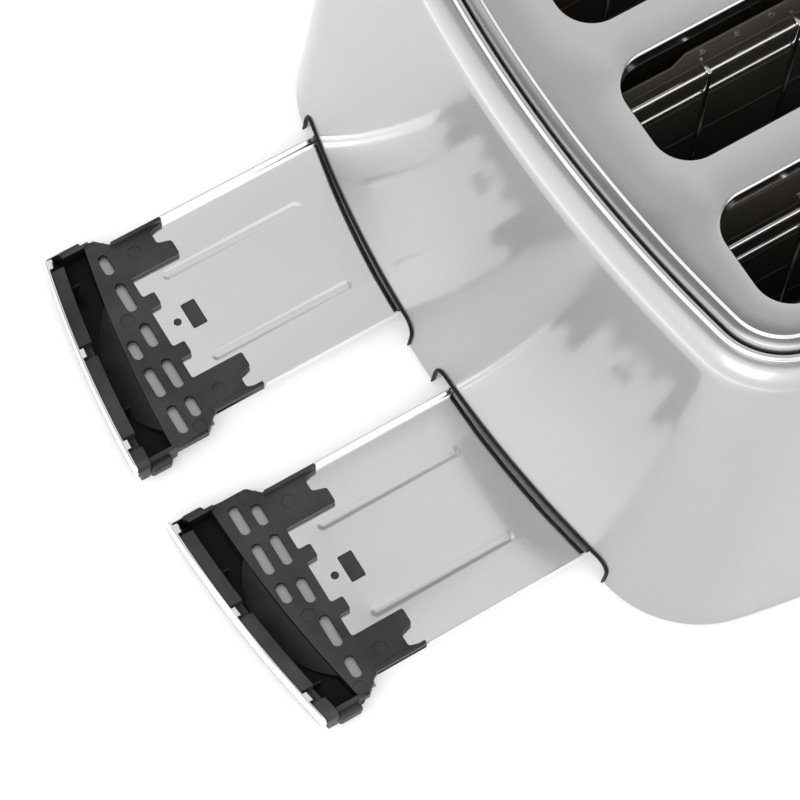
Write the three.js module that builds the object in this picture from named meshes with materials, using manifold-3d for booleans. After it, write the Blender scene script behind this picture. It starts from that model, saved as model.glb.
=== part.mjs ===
// Four slot electric toaster with both crumb trays drawn out at the back.
// Millimetres, +Z up. The controls are at the front, towards -Y, and the trays at the back, towards +Y.
// The body is symmetric about X = 0: each bank of two slots has its own lever, dial, buttons and tray.

import * as THREE from 'three';
import { mergeVertices } from 'three/addons/utils/BufferGeometryUtils.js';
import Module from 'manifold-3d';

const wasm = await Module();
wasm.setup();

// Shared clearances
const seatGap = 0.3;
const slideGap = 0.4;
const overrun = 4;
const sheet = 0.8;

// Body outline at the foot of the wall and at the shoulder
const foot = { halfWidth: 159, halfDepth: 140.5, sideBow: 430, endBow: 500, corner: 45 };
const shoulder = { halfWidth: 143, halfDepth: 114, sideBow: 450, endBow: 560, corner: 36 };
const wallFoot = 2;
const wallHead = 167;
const sideSteps = 2;
const cornerSteps = 5;
const endSteps = 3;
const wallSteps = 4;

// Rolled shoulder and the band inside it
const bandWidth = 8.5;
const bandHeight = 9.8;
const bandTop = wallHead + bandHeight;
const rollShares = [[0.12, 0.43], [0.4, 0.78]];

// Chrome trim ring and the groove inside it
const ringWidth = 3.4;
const ringRise = 2.6;
const ringFlange = 5;
const ringFlangeDepth = 2;
const grooveWidth = 1;

// Top panel with its bevelled edge and four slots
const panelRise = 4.45;
const panelTop = bandTop + panelRise;
const bevelWidth = 4;
const bevelDrop = 3.65;
const slotHalfWidth = 21.4;
const slotHalfLength = 75.5;
const slotCorner = 13;
const slotPitch = 60;
const slotLipDepth = 7;
const slotRoll = 2;
const lipShares = [[0.35, 0.18], [0, 0.8]];
const slotSteps = 4;

// Facets of small round shapes
const cornerFacets = 3;
const smallFacets = 2;
const roundShare = 0.95;
const footSides = 14;
const roundSides = 12;
const boreSides = 8;
const wireSides = 6;

// Rubber feet and base moulding
const footRadius = 9;
const footHeight = 4;
const footSideInset = 47;
const footEndInset = 44.5;
const footX = foot.halfWidth - footSideInset;
const footY = foot.halfDepth - footEndInset;
const baseFloor = 2;
const baseRimHeight = 8;
const baseRim = 2;
const postHalf = 4;

// Crumb trays
const trayCentre = slotPitch;
const trayDrawn = 119;
const trayHalfWidth = 40.8;
const trayFloorZ = 8;
const trayWall = 5;
const trayMetal = 0.6;
const trayInnerEnd = -86;
const trayWallEnd = 79;
const trayMetalEnd = 103.5;
const beadOffset = 19.75;
const beadWidth = 5.6;
const beadHeight = 0.9;
const beadHollow = 0.72;
const beadStart = 28.5;
const beadEnd = 91;
const latchHole = { halfWidth: 5.7, start: 84.4, end: 90.5 };
const pipHole = { y: 94.6, radius: 1.6 };
const runnerOffset = 30;
const runnerWidth = 3;
const guideRibWidth = 1.6;

// Black tray front moulding, sizes from the tray's middle line and from the wall
const armOuter = 41.3;
const armTip = 79.5;
const armRib = 1.6;
const hookTip = 80;
const hookRoot = 85.5;
const hookInner = 24.3;
const hookOuter = 31;
const recessLine = 101.5;
const toothTip = 96.5;
const toothInner = 9;
const toothOuter = 15;
const flareOuter = 46.5;
const flareY = 107;
const plateStart = 104;
const plateThick = 4.4;
const plateSkin = 2;
const hollowBack = 17.6;
const hollowFront = 8;
const hollowFloor = 2.2;
const frontWallFoot = 3;
const frontWallHead = 14;
const mouldWall = 1.6;
const lugOuter = 49.6;
const lugFront = 9;
const lugBack = 16;
const lugHeight = 6;
const tongueHalf = 8;
const tongueThick = 1.3;
const scoopHalf = 34;
const scoopReach = 7.6;
const scoopSlope = 0.5;
const ventWidth = 4.2;
const ventInnerRow = 107;
const ventOuterRow = 114.6;
const ventInnerStart = 11.7;
const ventInnerEnd = 25.2;
const ventOuterStart = 29.8;
const ventOuterEnd = 39;
const ventLongEnd = 42.6;
const ventMiddleHalf = 5.5;
const ventShortStart = 7.4;
const ventShortEnd = 1.4;
const vents = [
  { row: ventInnerRow, from: ventOuterStart, to: ventOuterEnd },
  { row: ventInnerRow, from: ventInnerStart, to: ventInnerEnd },
  { row: ventInnerRow, from: -ventMiddleHalf, to: ventMiddleHalf },
  { row: ventOuterRow, from: -ventShortStart, to: ventShortEnd },
  { row: ventInnerRow, from: -ventInnerEnd, to: -ventInnerStart },
  { row: ventOuterRow, from: -ventInnerEnd, to: -ventInnerStart },
  { row: ventInnerRow, from: -ventOuterEnd, to: -ventOuterStart },
  { row: ventOuterRow, from: -ventLongEnd, to: -ventOuterStart },
];

// Stainless tray face and its clips
const faceHalfWidth = 48.6;
const faceFoot = 2.8;
const faceHead = 14.4;
const faceCorner = 4;
const clipHalf = 2.4;
const clipReach = 4;
const clipInner = 37;
const clipMiddle = 4.5;
const clipOuter = 44;
const clipGapDepth = 4.8;
const barSlack = 0.7;

// Tray opening in the shell and its black liner
const openingHalf = 51.8;
const openingHead = 16.6;
const openingCorner = 6.4;
const linerThick = 1.2;
const linerProud = 1;
const linerDepth = 5;
const bayClear = 2.4;

// Chassis plates, heat shields and heaters
const chassisY = 79.5;
const chassisInset = 37;
const chassisHalfWidth = foot.halfWidth - chassisInset;
const chassisFoot = 15;
const chassisDrop = 15.25;
const chassisShoulder = panelTop - chassisDrop;
const chassisHeadInset = 35;
const chassisHeadWidth = shoulder.halfWidth - chassisHeadInset;
const chassisPostInset = 8;
const chassisPostX = chassisHalfWidth - chassisPostInset;
const shieldInset = 1.5;
const shieldX = chassisHalfWidth - shieldInset;
const cardEdgeX = 8;
const cardFoot = 30;
const cardDrop = 18.25;
const cardHead = panelTop - cardDrop;
const cardShoulder = 5;
const cardFlat = 42;
const ribbonRuns = 5;
const ribbonTall = 1.6;
const ribbonThick = 0.4;
const ribbonEnd = 68;
const ribbonFootGap = 14;
const ribbonHeadGap = 13;
const ribbonFoot = cardFoot + ribbonFootGap;
const ribbonHead = cardHead - ribbonHeadGap;

// Bread guides
const guideOffset = 15.5;
const guideTravel = 6;
const guideWire = 1;
const guidePost = 1.5;
const guideWeld = 0.12;
const railDrop = 25.25;
const railPitch = 13;
const railFoot = 46;
const guideRails = [panelTop - railDrop, panelTop - railDrop - railPitch, railFoot];
const guidePosts = [-37, 0, 37];
const guideTail = 4.5;

// Carriage, bread racks and lever
const liftTravel = 70;
const magnetHead = 17.4;
const barFoot = magnetHead + seatGap * 2 + liftTravel;
const barHeight = 16;
const barHead = barFoot + barHeight;
const rackRise = 14;
const rackTop = barFoot + rackRise;
const rackHalfWidth = 5;
const rackEnd = 72;
const rackWeb = 1.2;
const rackWebHeight = 8;
const toothCount = 6;
const toothHeight = 6;
const rackSlotHalf = 2.6;
const barInnerX = 24;
const barOuterX = 98;
const barSpace = 5;
const barY = chassisY + barSpace;
const barThick = 1.5;
const rodX = trayCentre;
const rodSpace = 11.5;
const rodY = chassisY + rodSpace;
const rodRadius = 2;
const bushRadius = 5.6;
const bracketRise = 25;
const bracketZ = barHead + bracketRise;
const rodTip = 4;
const rodHead = bracketZ + rodTip;
const leverX = 78;
const leverThick = 2;
const leverHeight = 8;
const knobInset = 4.5;
const knobBack = foot.halfDepth - knobInset;
const leverInKnob = 9.5;
const leverReach = knobBack + leverInKnob;
const leverSlotHalf = 3;
const leverSlotEnds = 5;
const knobDepth = 14;
const knobWidth = 26;
const knobHeight = 15;
const knobRound = 4;

// Return spring
const springX = 47;
const springRadius = 3;
const springWire = 0.45;
const springTurns = 5;
const springTurnSteps = 6;
const springSides = 4;

// Latch magnet
const magnetX = 40;
const magnetWidth = 14;
const magnetDepth = 8;
const magnetSpace = 13.5;
const magnetY = chassisY + magnetSpace;
const keeperThick = 2;

// Control panel, dials and buttons
const panelZ = 78;
const panelHalfWidth = 58;
const panelHalfHeight = 50;
const panelCorner = 14;
const panelThick = 2.2;
const windowMargin = 7;
const dialX = 30;
const dialZ = -27;
const dialRadius = 16;
const dialDepth = 15;
const dialLift = 1;
const dialShares = [[0.8, 1], [0.92, 0.88], [0.94, 0.35], [1, 0.25]];
const dialMark = { from: 4.8, to: 12 };
const shaftRadius = 3;
const dialSides = 18;
const buttonWidth = 20;
const buttonHeight = 9;
const buttonProud = 3;
const buttonTravel = 2.5;
const buttonZ = [6, 21, 36];
const buttonNames = ['cancel', 'reheat', 'defrost'];
const stemHalf = 2;
const boardDepth = 24;
const boardThick = 1.6;
const boardHalfHeight = 42;
const boardInner = 6;
const boardOuter = 50;
const bossRadius = 2.6;
const bossWeld = 1.5;
const switchHeight = 5;

// Cord outlet
const glandX = 0;
const glandInset = 37.5;
const glandY = foot.halfDepth - glandInset;
const glandBore = 3.4;
const glandNeck = 4.4;
const glandFlange = 7;
const glandLip = 1.7;

// Finishes
const finish = (color, roughness, metalness) =>
  new THREE.MeshStandardMaterial({ color, roughness, metalness, flatShading: true });
const steel = finish(0xc9c9c9, 0.32, 1);
const trimChrome = finish(0xe2e2e2, 0.12, 1);
const trayTin = finish(0xd0d0d0, 0.35, 1);
const galvanised = finish(0xa2a4a6, 0.45, 1);
const guideNickel = finish(0xd8d8d6, 0.2, 1);
const blackPlastic = finish(0x3a3a3b, 0.5, 0);
const glossPlastic = finish(0x1d1d1f, 0.2, 0);
const rubber = finish(0x222222, 0.9, 0);
const mica = finish(0x8c7a5c, 0.7, 0);
const boardGreen = finish(0x2f6b3c, 0.6, 0);
const copperCoil = finish(0xa5622d, 0.4, 1);

// Solids and surfaces
function toSolid(geometry) {
  const bare = geometry.clone();
  bare.deleteAttribute('normal');
  bare.deleteAttribute('uv');
  const merged = mergeVertices(bare);
  return new wasm.Manifold(new wasm.Mesh({
    numProp: 3,
    vertProperties: new Float32Array(merged.attributes.position.array),
    triVerts: new Uint32Array(merged.index.array),
  }));
}

function toGeometry(solid) {
  const mesh = solid.getMesh();
  const geometry = new THREE.BufferGeometry();
  geometry.setAttribute('position', new THREE.BufferAttribute(new Float32Array(mesh.vertProperties), 3));
  geometry.setIndex(new THREE.BufferAttribute(new Uint32Array(mesh.triVerts), 1));
  return geometry;
}

function join(...geometries) {
  const [first, ...rest] = geometries.map(toSolid);
  return toGeometry(rest.reduce((whole, next) => whole.add(next), first));
}

function cut(body, ...tools) {
  return toGeometry(tools.map(toSolid).reduce((left, tool) => left.subtract(tool), toSolid(body)));
}

function overlap(first, second) {
  return toGeometry(toSolid(first).intersect(toSolid(second)));
}

// Mirror a geometry across the middle plane X = 0
function mirrored(geometry) {
  const copy = geometry.clone();
  copy.scale(-1, 1, 1);
  const faces = copy.index.array;
  for (let i = 0; i < faces.length; i += 3) {
    [faces[i], faces[i + 1]] = [faces[i + 1], faces[i]];
  }
  return copy;
}

function block(x0, x1, y0, y1, z0, z1) {
  const box = new THREE.BoxGeometry(x1 - x0, y1 - y0, z1 - z0);
  return box.translate((x0 + x1) / 2, (y0 + y1) / 2, (z0 + z1) / 2);
}

function post(x, y, radius, z0, z1, sides) {
  const rod = new THREE.CylinderGeometry(radius, radius, z1 - z0, sides);
  return rod.rotateX(Math.PI / 2).translate(x, y, (z0 + z1) / 2);
}

// Straight prism of a plan outline between two heights
function prism(points, z0, z1) {
  const solid = new THREE.ExtrudeGeometry(new THREE.Shape(points), { depth: z1 - z0, bevelEnabled: false });
  return solid.translate(0, 0, z0);
}

// Prism of an outline drawn in X and Z, along Y
function prismAlongY(points, y0, y1) {
  const solid = new THREE.ExtrudeGeometry(new THREE.Shape(points), { depth: y1 - y0, bevelEnabled: false });
  return solid.rotateX(Math.PI / 2).translate(0, y1, 0);
}

// Prism of an outline drawn in Y and Z, along X
function prismAlongX(points, x0, x1) {
  const solid = new THREE.ExtrudeGeometry(new THREE.Shape(points), { depth: x1 - x0, bevelEnabled: false });
  const turn = new THREE.Matrix4().makeBasis(
    new THREE.Vector3(0, 1, 0), new THREE.Vector3(0, 0, 1), new THREE.Vector3(1, 0, 0));
  return solid.applyMatrix4(turn).translate(x0, 0, 0);
}

function roundedRectangle(x0, x1, y0, y1, radius, steps) {
  const corners = [
    [x1 - radius, y0 + radius, -Math.PI / 2],
    [x1 - radius, y1 - radius, 0],
    [x0 + radius, y1 - radius, Math.PI / 2],
    [x0 + radius, y0 + radius, Math.PI],
  ];
  const points = [];
  for (const [x, y, start] of corners) {
    for (let i = 0; i <= steps; i += 1) {
      const angle = start + (Math.PI / 2) * (i / steps);
      points.push(new THREE.Vector2(x + radius * Math.cos(angle), y + radius * Math.sin(angle)));
    }
  }
  return points;
}

// Surface through rings of equal point counts, capped at both ends or closed on itself.
// Each four sided patch is split from its lower first corner, so that nested walls stay parallel.
function loft(rings, closed) {
  const count = rings[0].length;
  const positions = rings.flat().flatMap((p) => [p.x, p.y, p.z]);
  const faces = [];
  const bands = closed ? rings.length : rings.length - 1;
  for (let r = 0; r < bands; r += 1) {
    const low = r * count;
    const high = ((r + 1) % rings.length) * count;
    const falling = rings[(r + 1) % rings.length][0].z < rings[r][0].z;
    for (let i = 0; i < count; i += 1) {
      const j = (i + 1) % count;
      faces.push(low + i, low + j, falling ? high + i : high + j);
      faces.push(falling ? low + j : low + i, high + j, high + i);
    }
  }
  if (!closed) {
    faces.push(...cap(rings[0], 0, -1));
    faces.push(...cap(rings[rings.length - 1], (rings.length - 1) * count, 1));
  }
  const geometry = new THREE.BufferGeometry();
  geometry.setAttribute('position', new THREE.Float32BufferAttribute(positions, 3));
  geometry.setIndex(faces);
  return geometry;
}

function cap(ring, offset, facing) {
  const flat = ring.map((p) => new THREE.Vector2(p.x, p.y));
  const faces = [];
  for (const [a, b, c] of THREE.ShapeUtils.triangulateShape(flat, [])) {
    const turn = THREE.ShapeUtils.area([flat[a], flat[b], flat[c]]);
    const order = turn * facing > 0 ? [a, b, c] : [a, c, b];
    faces.push(...order.map((i) => i + offset));
  }
  return faces;
}

// Body outlines: four bowed sides joined by tangent corner arcs
function arcPoints(centre, radius, from, to, steps) {
  const points = [];
  for (let i = 0; i < steps; i += 1) {
    const angle = from + (to - from) * (i / steps);
    points.push(new THREE.Vector2(
      centre.x + radius * Math.cos(angle), centre.y + radius * Math.sin(angle)));
  }
  return points;
}

function outline(size, inset) {
  const side = new THREE.Vector2(size.halfWidth - size.sideBow, 0);
  const end = new THREE.Vector2(0, size.halfDepth - size.endBow);
  const fromSide = size.sideBow - size.corner;
  const fromEnd = size.endBow - size.corner;
  const apart = end.clone().sub(side);
  const gap = apart.length();
  const along = (fromSide ** 2 - fromEnd ** 2 + gap ** 2) / (2 * gap);
  const off = Math.sqrt(fromSide ** 2 - along ** 2);
  apart.normalize();
  const middle = side.clone().addScaledVector(apart, along);
  middle.add(new THREE.Vector2(-apart.y, apart.x).multiplyScalar(off));
  const sideAngle = middle.clone().sub(side).angle();
  const endAngle = middle.clone().sub(end).angle();
  const quarter = [
    ...arcPoints(side, size.sideBow - inset, 0, sideAngle, sideSteps),
    ...arcPoints(middle, size.corner - inset, sideAngle, endAngle, cornerSteps),
    ...arcPoints(end, size.endBow - inset, endAngle, Math.PI / 2, endSteps),
  ];
  const top = new THREE.Vector2(0, size.halfDepth - inset);
  const half = [...quarter, top, ...quarter.slice(1).reverse().map((p) => new THREE.Vector2(-p.x, p.y))];
  return [...half, ...half.map((p) => new THREE.Vector2(-p.x, -p.y))];
}

function ringAt(size, inset, z) {
  return outline(size, inset).map((p) => new THREE.Vector3(p.x, p.y, z));
}

// Ring on the leaning wall at a height, pushed outwards by a distance
function wallRing(z, out) {
  const share = (z - wallFoot) / (wallHead - wallFoot);
  const low = ringAt(foot, -out, z);
  const high = ringAt(shoulder, -out, z);
  return low.map((p, i) => p.clone().lerp(high[i], share));
}

function wallBand(out, inn, z0, z1) {
  return loft([wallRing(z0, out), wallRing(z1, out), wallRing(z1, inn), wallRing(z0, inn)], true);
}

// Distance from the middle to the bowed end wall, at a place across and a height
function wallY(x, z) {
  const share = (z - wallFoot) / (wallHead - wallFoot);
  const depthAt = (size) => size.halfDepth - size.endBow + Math.sqrt(size.endBow ** 2 - x ** 2);
  return depthAt(foot) * (1 - share) + depthAt(shoulder) * share;
}

const lean = Math.atan2(foot.halfDepth - shoulder.halfDepth, wallHead - wallFoot);
const ringOuterInset = bandWidth + seatGap;
const ringInnerInset = ringOuterInset + ringWidth;
const bevelInset = ringInnerInset + grooveWidth;
const flangeTop = panelTop - bevelDrop - sheet - seatGap;
const baseTop = footHeight + baseFloor;

// Assembly
const toaster = new THREE.Group();

function piece(name, geometry, material, parent = toaster) {
  const shown = geometry.clone();
  shown.computeVertexNormals();
  const mesh = new THREE.Mesh(shown, material);
  mesh.name = name;
  parent.add(mesh);
  return mesh;
}

function pair(name, geometry, material, parent = toaster) {
  const indexed = geometry.index ? geometry : mergeVertices(geometry);
  piece(`${name}_right`, indexed, material, parent);
  piece(`${name}_left`, mirrored(indexed), material, parent);
}

// Frame of the control panel: local -Y points out of the front wall, local Z runs up along it
const controlFrame = new THREE.Matrix4().makeRotationX(-lean);
controlFrame.setPosition(0, -wallY(0, panelZ), panelZ);

function onControlPanel(geometry) {
  return geometry.clone().applyMatrix4(controlFrame);
}

// Outer shell
function openingShape(half, head, corner) {
  return roundedRectangle(trayCentre - half, trayCentre + half, -head, head, corner, slotSteps);
}

function shellBody() {
  const rolled = (inset) => rollShares.map(([across, up]) =>
    ringAt(shoulder, inset + bandWidth * across, wallHead - inset + bandHeight * up));
  return loft([
    ringAt(foot, 0, wallFoot),
    ringAt(shoulder, 0, wallHead),
    ...rolled(0),
    ringAt(shoulder, bandWidth, bandTop),
    ringAt(shoulder, bandWidth, bandTop - sheet),
    rolled(sheet)[0],
    ringAt(shoulder, sheet, wallHead - sheet),
    ringAt(foot, sheet, wallFoot),
  ], true);
}

function controlWindow(margin) {
  const half = panelHalfWidth - margin;
  const tall = panelHalfHeight - margin;
  return roundedRectangle(-half, half, panelZ - tall, panelZ + tall, panelCorner - margin, cornerFacets);
}

function leverSlot(sign) {
  const middle = sign * leverX;
  const low = barFoot - liftTravel - leverSlotEnds;
  const high = barFoot + leverHeight + leverSlotEnds;
  return prismAlongY(
    roundedRectangle(middle - leverSlotHalf, middle + leverSlotHalf, low, high, leverSlotHalf, smallFacets),
    -foot.halfDepth - overrun, -rodY);
}

function outerShell() {
  const opening = prismAlongY(
    openingShape(openingHalf, openingHead, openingCorner), rodY, foot.halfDepth + overrun);
  const indexed = mergeVertices(opening);
  return cut(
    shellBody(), opening, mirrored(indexed),
    prismAlongY(controlWindow(windowMargin), -foot.halfDepth - overrun, -rodY),
    leverSlot(1), leverSlot(-1));
}

// Black liner round a tray opening
function openingLiner() {
  const outer = openingShape(openingHalf - seatGap, openingHead - seatGap, openingCorner - seatGap);
  const inner = openingShape(
    openingHalf - seatGap - linerThick, openingHead - seatGap - linerThick, openingCorner - linerThick);
  const arch = cut(
    prismAlongY(outer, 0, foot.halfDepth + overrun), prismAlongY(inner, -overrun, foot.halfDepth + overrun * 2));
  const top = openingHead + overrun;
  return overlap(wallBand(linerProud, -linerDepth, wallFoot + seatGap, top), arch);
}

// Trim ring and top panel
function trimRing() {
  const foot0 = flangeTop - ringFlangeDepth;
  const head = bandTop + ringRise;
  return loft([
    ringAt(shoulder, ringOuterInset, foot0),
    ringAt(shoulder, ringOuterInset, head - ringRise / 2),
    ringAt(shoulder, ringOuterInset + ringWidth / 4, head),
    ringAt(shoulder, ringInnerInset, head - ringRise / 4),
    ringAt(shoulder, ringInnerInset, flangeTop),
    ringAt(shoulder, ringInnerInset + ringFlange, flangeTop),
    ringAt(shoulder, ringInnerInset + ringFlange, foot0),
  ], true);
}

function slotRing(middle, out, z) {
  const halfWidth = slotHalfWidth + out;
  const halfLength = slotHalfLength + out;
  return roundedRectangle(
    middle - halfWidth, middle + halfWidth, -halfLength, halfLength, slotCorner + out, slotSteps,
  ).map((p) => new THREE.Vector3(p.x, p.y, z));
}

function slotLip(middle) {
  const below = panelTop - slotLipDepth;
  return loft([
    slotRing(middle, sheet, below),
    slotRing(middle, slotRoll + seatGap, panelTop - sheet),
    slotRing(middle, slotRoll + seatGap, panelTop),
    ...lipShares.map(([out, drop]) => slotRing(middle, slotRoll * out, panelTop - slotRoll * drop)),
    slotRing(middle, 0, below),
  ], true);
}

const slotMiddles = [-1.5, -0.5, 0.5, 1.5].map((n) => n * slotPitch);

function topPanel() {
  const bevelFoot = panelTop - bevelDrop - sheet;
  const plate = loft([
    ringAt(shoulder, bevelInset + bevelWidth + sheet, panelTop - sheet),
    ringAt(shoulder, bevelInset, bevelFoot),
    ringAt(shoulder, bevelInset, bevelFoot + sheet),
    ringAt(shoulder, bevelInset + bevelWidth, panelTop),
  ], false);
  const holes = slotMiddles.map((middle) => loft([
    slotRing(middle, slotRoll, panelTop - slotLipDepth),
    slotRing(middle, slotRoll, panelTop + overrun),
  ], false));
  return join(cut(plate, ...holes), ...slotMiddles.map(slotLip));
}

// Base moulding with tray runners, posts and feet
function nearOpening(out, depth) {
  const points = [new THREE.Vector2(trayCentre + openingHalf + out, foot.halfDepth + overrun)];
  points.push(new THREE.Vector2(trayCentre - openingHalf - out, foot.halfDepth + overrun));
  for (let i = 0; i <= wallSteps; i += 1) {
    const x = trayCentre - openingHalf - out + (2 * (openingHalf + out) * i) / wallSteps;
    points.push(new THREE.Vector2(x, wallY(x, footHeight) - depth));
  }
  return points;
}

const postPlaces = [-chassisPostX, 0, chassisPostX].flatMap((x) => [[x, -chassisY], [x, chassisY]]);
const bayDepth = hollowBack + mouldWall + bayClear;

function trayGuides() {
  const inner = trayHalfWidth + slideGap * 2;
  const outer = inner + guideRibWidth;
  const guideEnd = trayWallEnd + (recessLine - trayWallEnd) / 2;
  const ribs = [-1, 1].flatMap((side) => [
    [trayCentre + side * runnerOffset - runnerWidth / 2, trayCentre + side * runnerOffset + runnerWidth / 2,
      trayInnerEnd, guideEnd, trayFloorZ - seatGap],
    [trayCentre + (side > 0 ? inner : -outer), trayCentre + (side > 0 ? outer : -inner),
      trayInnerEnd, guideEnd, trayFloorZ + trayWall - seatGap],
  ]);
  const stop = [trayCentre - outer, trayCentre + outer, trayInnerEnd - slideGap * 2 - guideRibWidth,
    trayInnerEnd - slideGap * 2, trayFloorZ + trayWall - seatGap];
  return [...ribs, stop].map(([x0, x1, y0, y1, z1]) => block(x0, x1, y0, y1, baseTop - sheet, z1));
}

function baseMoulding() {
  const inset = sheet + slideGap;
  const floor = loft([wallRing(footHeight, -inset), wallRing(baseTop, -inset)], false);
  const rim = wallBand(-inset, -inset - baseRim, footHeight + baseFloor / 2, baseTop + baseRimHeight);
  const posts = postPlaces.map(([x, y]) =>
    block(x - postHalf, x + postHalf, y - postHalf, y + postHalf, baseTop - sheet, chassisFoot - seatGap));
  const guides = trayGuides();
  const mouth = prism(nearOpening(seatGap, linerDepth + baseRim), baseTop, openingHead + overrun);
  const bay = prism(nearOpening(0, bayDepth), 0, openingHead + overrun);
  const outlet = post(glandX, glandY, glandNeck + seatGap, 0, baseTop + overrun, roundSides);
  const sockets = [1, -1].map((side) =>
    post(side * rodX, -rodY, rodRadius + baseRim, baseTop - sheet, baseTop + baseRim, boreSides));
  const bores = [1, -1].map((side) =>
    post(side * rodX, -rodY, rodRadius + seatGap, baseTop, baseTop + overrun, boreSides));
  const whole = join(
    floor, rim, ...posts, ...guides, ...guides.map((rib) => mirrored(mergeVertices(rib))), ...sockets);
  const back = [mouth, bay].map((tool) => mergeVertices(tool));
  return cut(whole, ...back, ...back.map(mirrored), ...bores, outlet);
}

function rubberFoot(sideX, sideY) {
  return post(sideX * footX, sideY * footY, footRadius, 0, footHeight, footSides);
}

// Rubber gland where the supply cord leaves the base, between the trays
function cordGland() {
  const low = footHeight - glandLip - seatGap;
  const high = baseTop + seatGap + glandLip;
  const profile = [
    [glandBore, low], [glandFlange, low], [glandFlange, footHeight - seatGap], [glandNeck, footHeight - seatGap],
    [glandNeck, baseTop + seatGap], [glandFlange, baseTop + seatGap], [glandFlange, high], [glandBore, high],
    [glandBore, low],
  ].map(([r, z]) => new THREE.Vector2(r, z));
  return new THREE.LatheGeometry(profile, roundSides).rotateX(Math.PI / 2).translate(glandX, glandY, 0);
}

// Chassis plates, heat shields, heater cards and ribbons
function chassisPlate(sign, tools) {
  const inner = chassisY - sheet / 2;
  const outer = chassisY + sheet / 2;
  const [y0, y1] = sign > 0 ? [inner, outer] : [-outer, -inner];
  const top = panelTop - sheet - seatGap;
  const half = [
    [chassisHalfWidth, chassisFoot], [chassisHalfWidth, chassisShoulder],
    [chassisHeadWidth, chassisShoulder], [chassisHeadWidth, top],
  ];
  const plate = prismAlongY([...half, ...half.map(([x, z]) => [-x, z]).reverse()]
    .map(([x, z]) => new THREE.Vector2(x, z)), y0, y1);
  const passing = [guideRails[0], guideRails[2]];
  const windows = slotMiddles.flatMap((middle) => [-1, 1].flatMap((side) => passing.map((z) => {
    const rest = middle + side * guideOffset;
    const closed = rest - side * guideTravel;
    const half = guideWire + seatGap;
    return block(Math.min(rest, closed) - half, Math.max(rest, closed) + half,
      y0 - sheet, y1 + sheet, z - half, z + half);
  })));
  return cut(plate, ...windows, ...tools);
}

function frontPlate() {
  const low = rackTop - liftTravel - rackWebHeight - toothHeight;
  const slots = slotMiddles.map((middle) => block(
    middle - rackSlotHalf, middle + rackSlotHalf, -chassisY - sheet, -chassisY + sheet, low, rackTop + slideGap * 2));
  const plate = chassisPlate(-1, slots);
  const shelf = (side) => {
    const [x0, x1] = [springX - springRadius * 2, rodX + bushRadius + baseRim].map((x) => x * side);
    const tab = block(Math.min(x0, x1), Math.max(x0, x1), -rodY - bushRadius - baseRim, -chassisY,
      bracketZ, bracketZ + barThick);
    return cut(tab, post(side * rodX, -rodY, rodRadius + seatGap, bracketZ - overrun, bracketZ + overrun, boreSides));
  };
  return join(plate, shelf(1), shelf(-1));
}

const plateClear = chassisY - sheet / 2 - seatGap;

function heatShield() {
  return block(shieldX - sheet / 2, shieldX + sheet / 2, -plateClear, plateClear,
    chassisFoot, chassisShoulder);
}

function heaterCard(x, sides) {
  const low = cardHead - cardShoulder;
  const step = cardFlat + cardShoulder;
  const points = [
    [-plateClear, cardFoot], [plateClear, cardFoot], [plateClear, low], [step, low], [cardFlat, cardHead],
    [-cardFlat, cardHead], [-step, low], [-plateClear, low],
  ].map(([y, z]) => new THREE.Vector2(y, z));
  const face = sheet / 2;
  const ribbons = sides.map((side) => {
    const [near, far] = [x + side * (face / 2), x + side * (face + ribbonThick)];
    return ribbon(Math.min(near, far), Math.max(near, far));
  });
  return join(prismAlongX(points, x - face, x + face), ...ribbons);
}

// Outline of a flat strip that follows a path of square turns
function stripOutline(path, half) {
  const normals = path.slice(1).map((p, i) => {
    const way = p.clone().sub(path[i]).normalize();
    return new THREE.Vector2(-way.y, way.x);
  });
  const edge = (side) => path.map((p, i) => {
    const shift = new THREE.Vector2();
    if (i > 0) shift.add(normals[i - 1]);
    if (i < normals.length) shift.add(normals[i]);
    return p.clone().addScaledVector(shift, side * half);
  });
  return [...edge(-1), ...edge(1).reverse()];
}

// One unbroken ribbon to and fro over a face of a card
function ribbon(x0, x1) {
  const step = (ribbonHead - ribbonFoot) / (ribbonRuns - 1);
  const path = [];
  for (let run = 0; run < ribbonRuns; run += 1) {
    const turn = run % 2 === 0 ? 1 : -1;
    const z = ribbonFoot + step * run;
    path.push(new THREE.Vector2(-turn * ribbonEnd, z), new THREE.Vector2(turn * ribbonEnd, z));
  }
  return prismAlongX(stripOutline(path, ribbonTall / 2), x0, x1);
}

// Wire grille beside a slot, its posts welded to the rails and hooked over the top one
function wireAlongY(x, z, end) {
  const wire = new THREE.CylinderGeometry(guideWire, guideWire, end * 2, wireSides);
  return wire.rotateY(Math.PI / 2).translate(x, 0, z);
}

function breadGuide(middle, side) {
  const x = middle + side * guideOffset;
  const [top, second, low] = guideRails;
  const through = chassisY + sheet * 2;
  const rails = [
    wireAlongY(x, top, through), wireAlongY(x, second, plateClear), wireAlongY(x, low, through),
  ];
  const face = guideWeld - guideWire;
  const head = top + guideWire + seatGap;
  const hook = [
    [face - guidePost, low - guideWire], [face, low - guideWire], [face, head], [guideTail, head],
    [guideTail, head + guidePost], [face - guidePost, head + guidePost],
  ].map(([u, z]) => new THREE.Vector2(x + side * u, z));
  const posts = guidePosts.map((y) => prismAlongY(hook, y - guidePost / 2, y + guidePost / 2));
  return join(...rails, ...posts);
}

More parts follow.
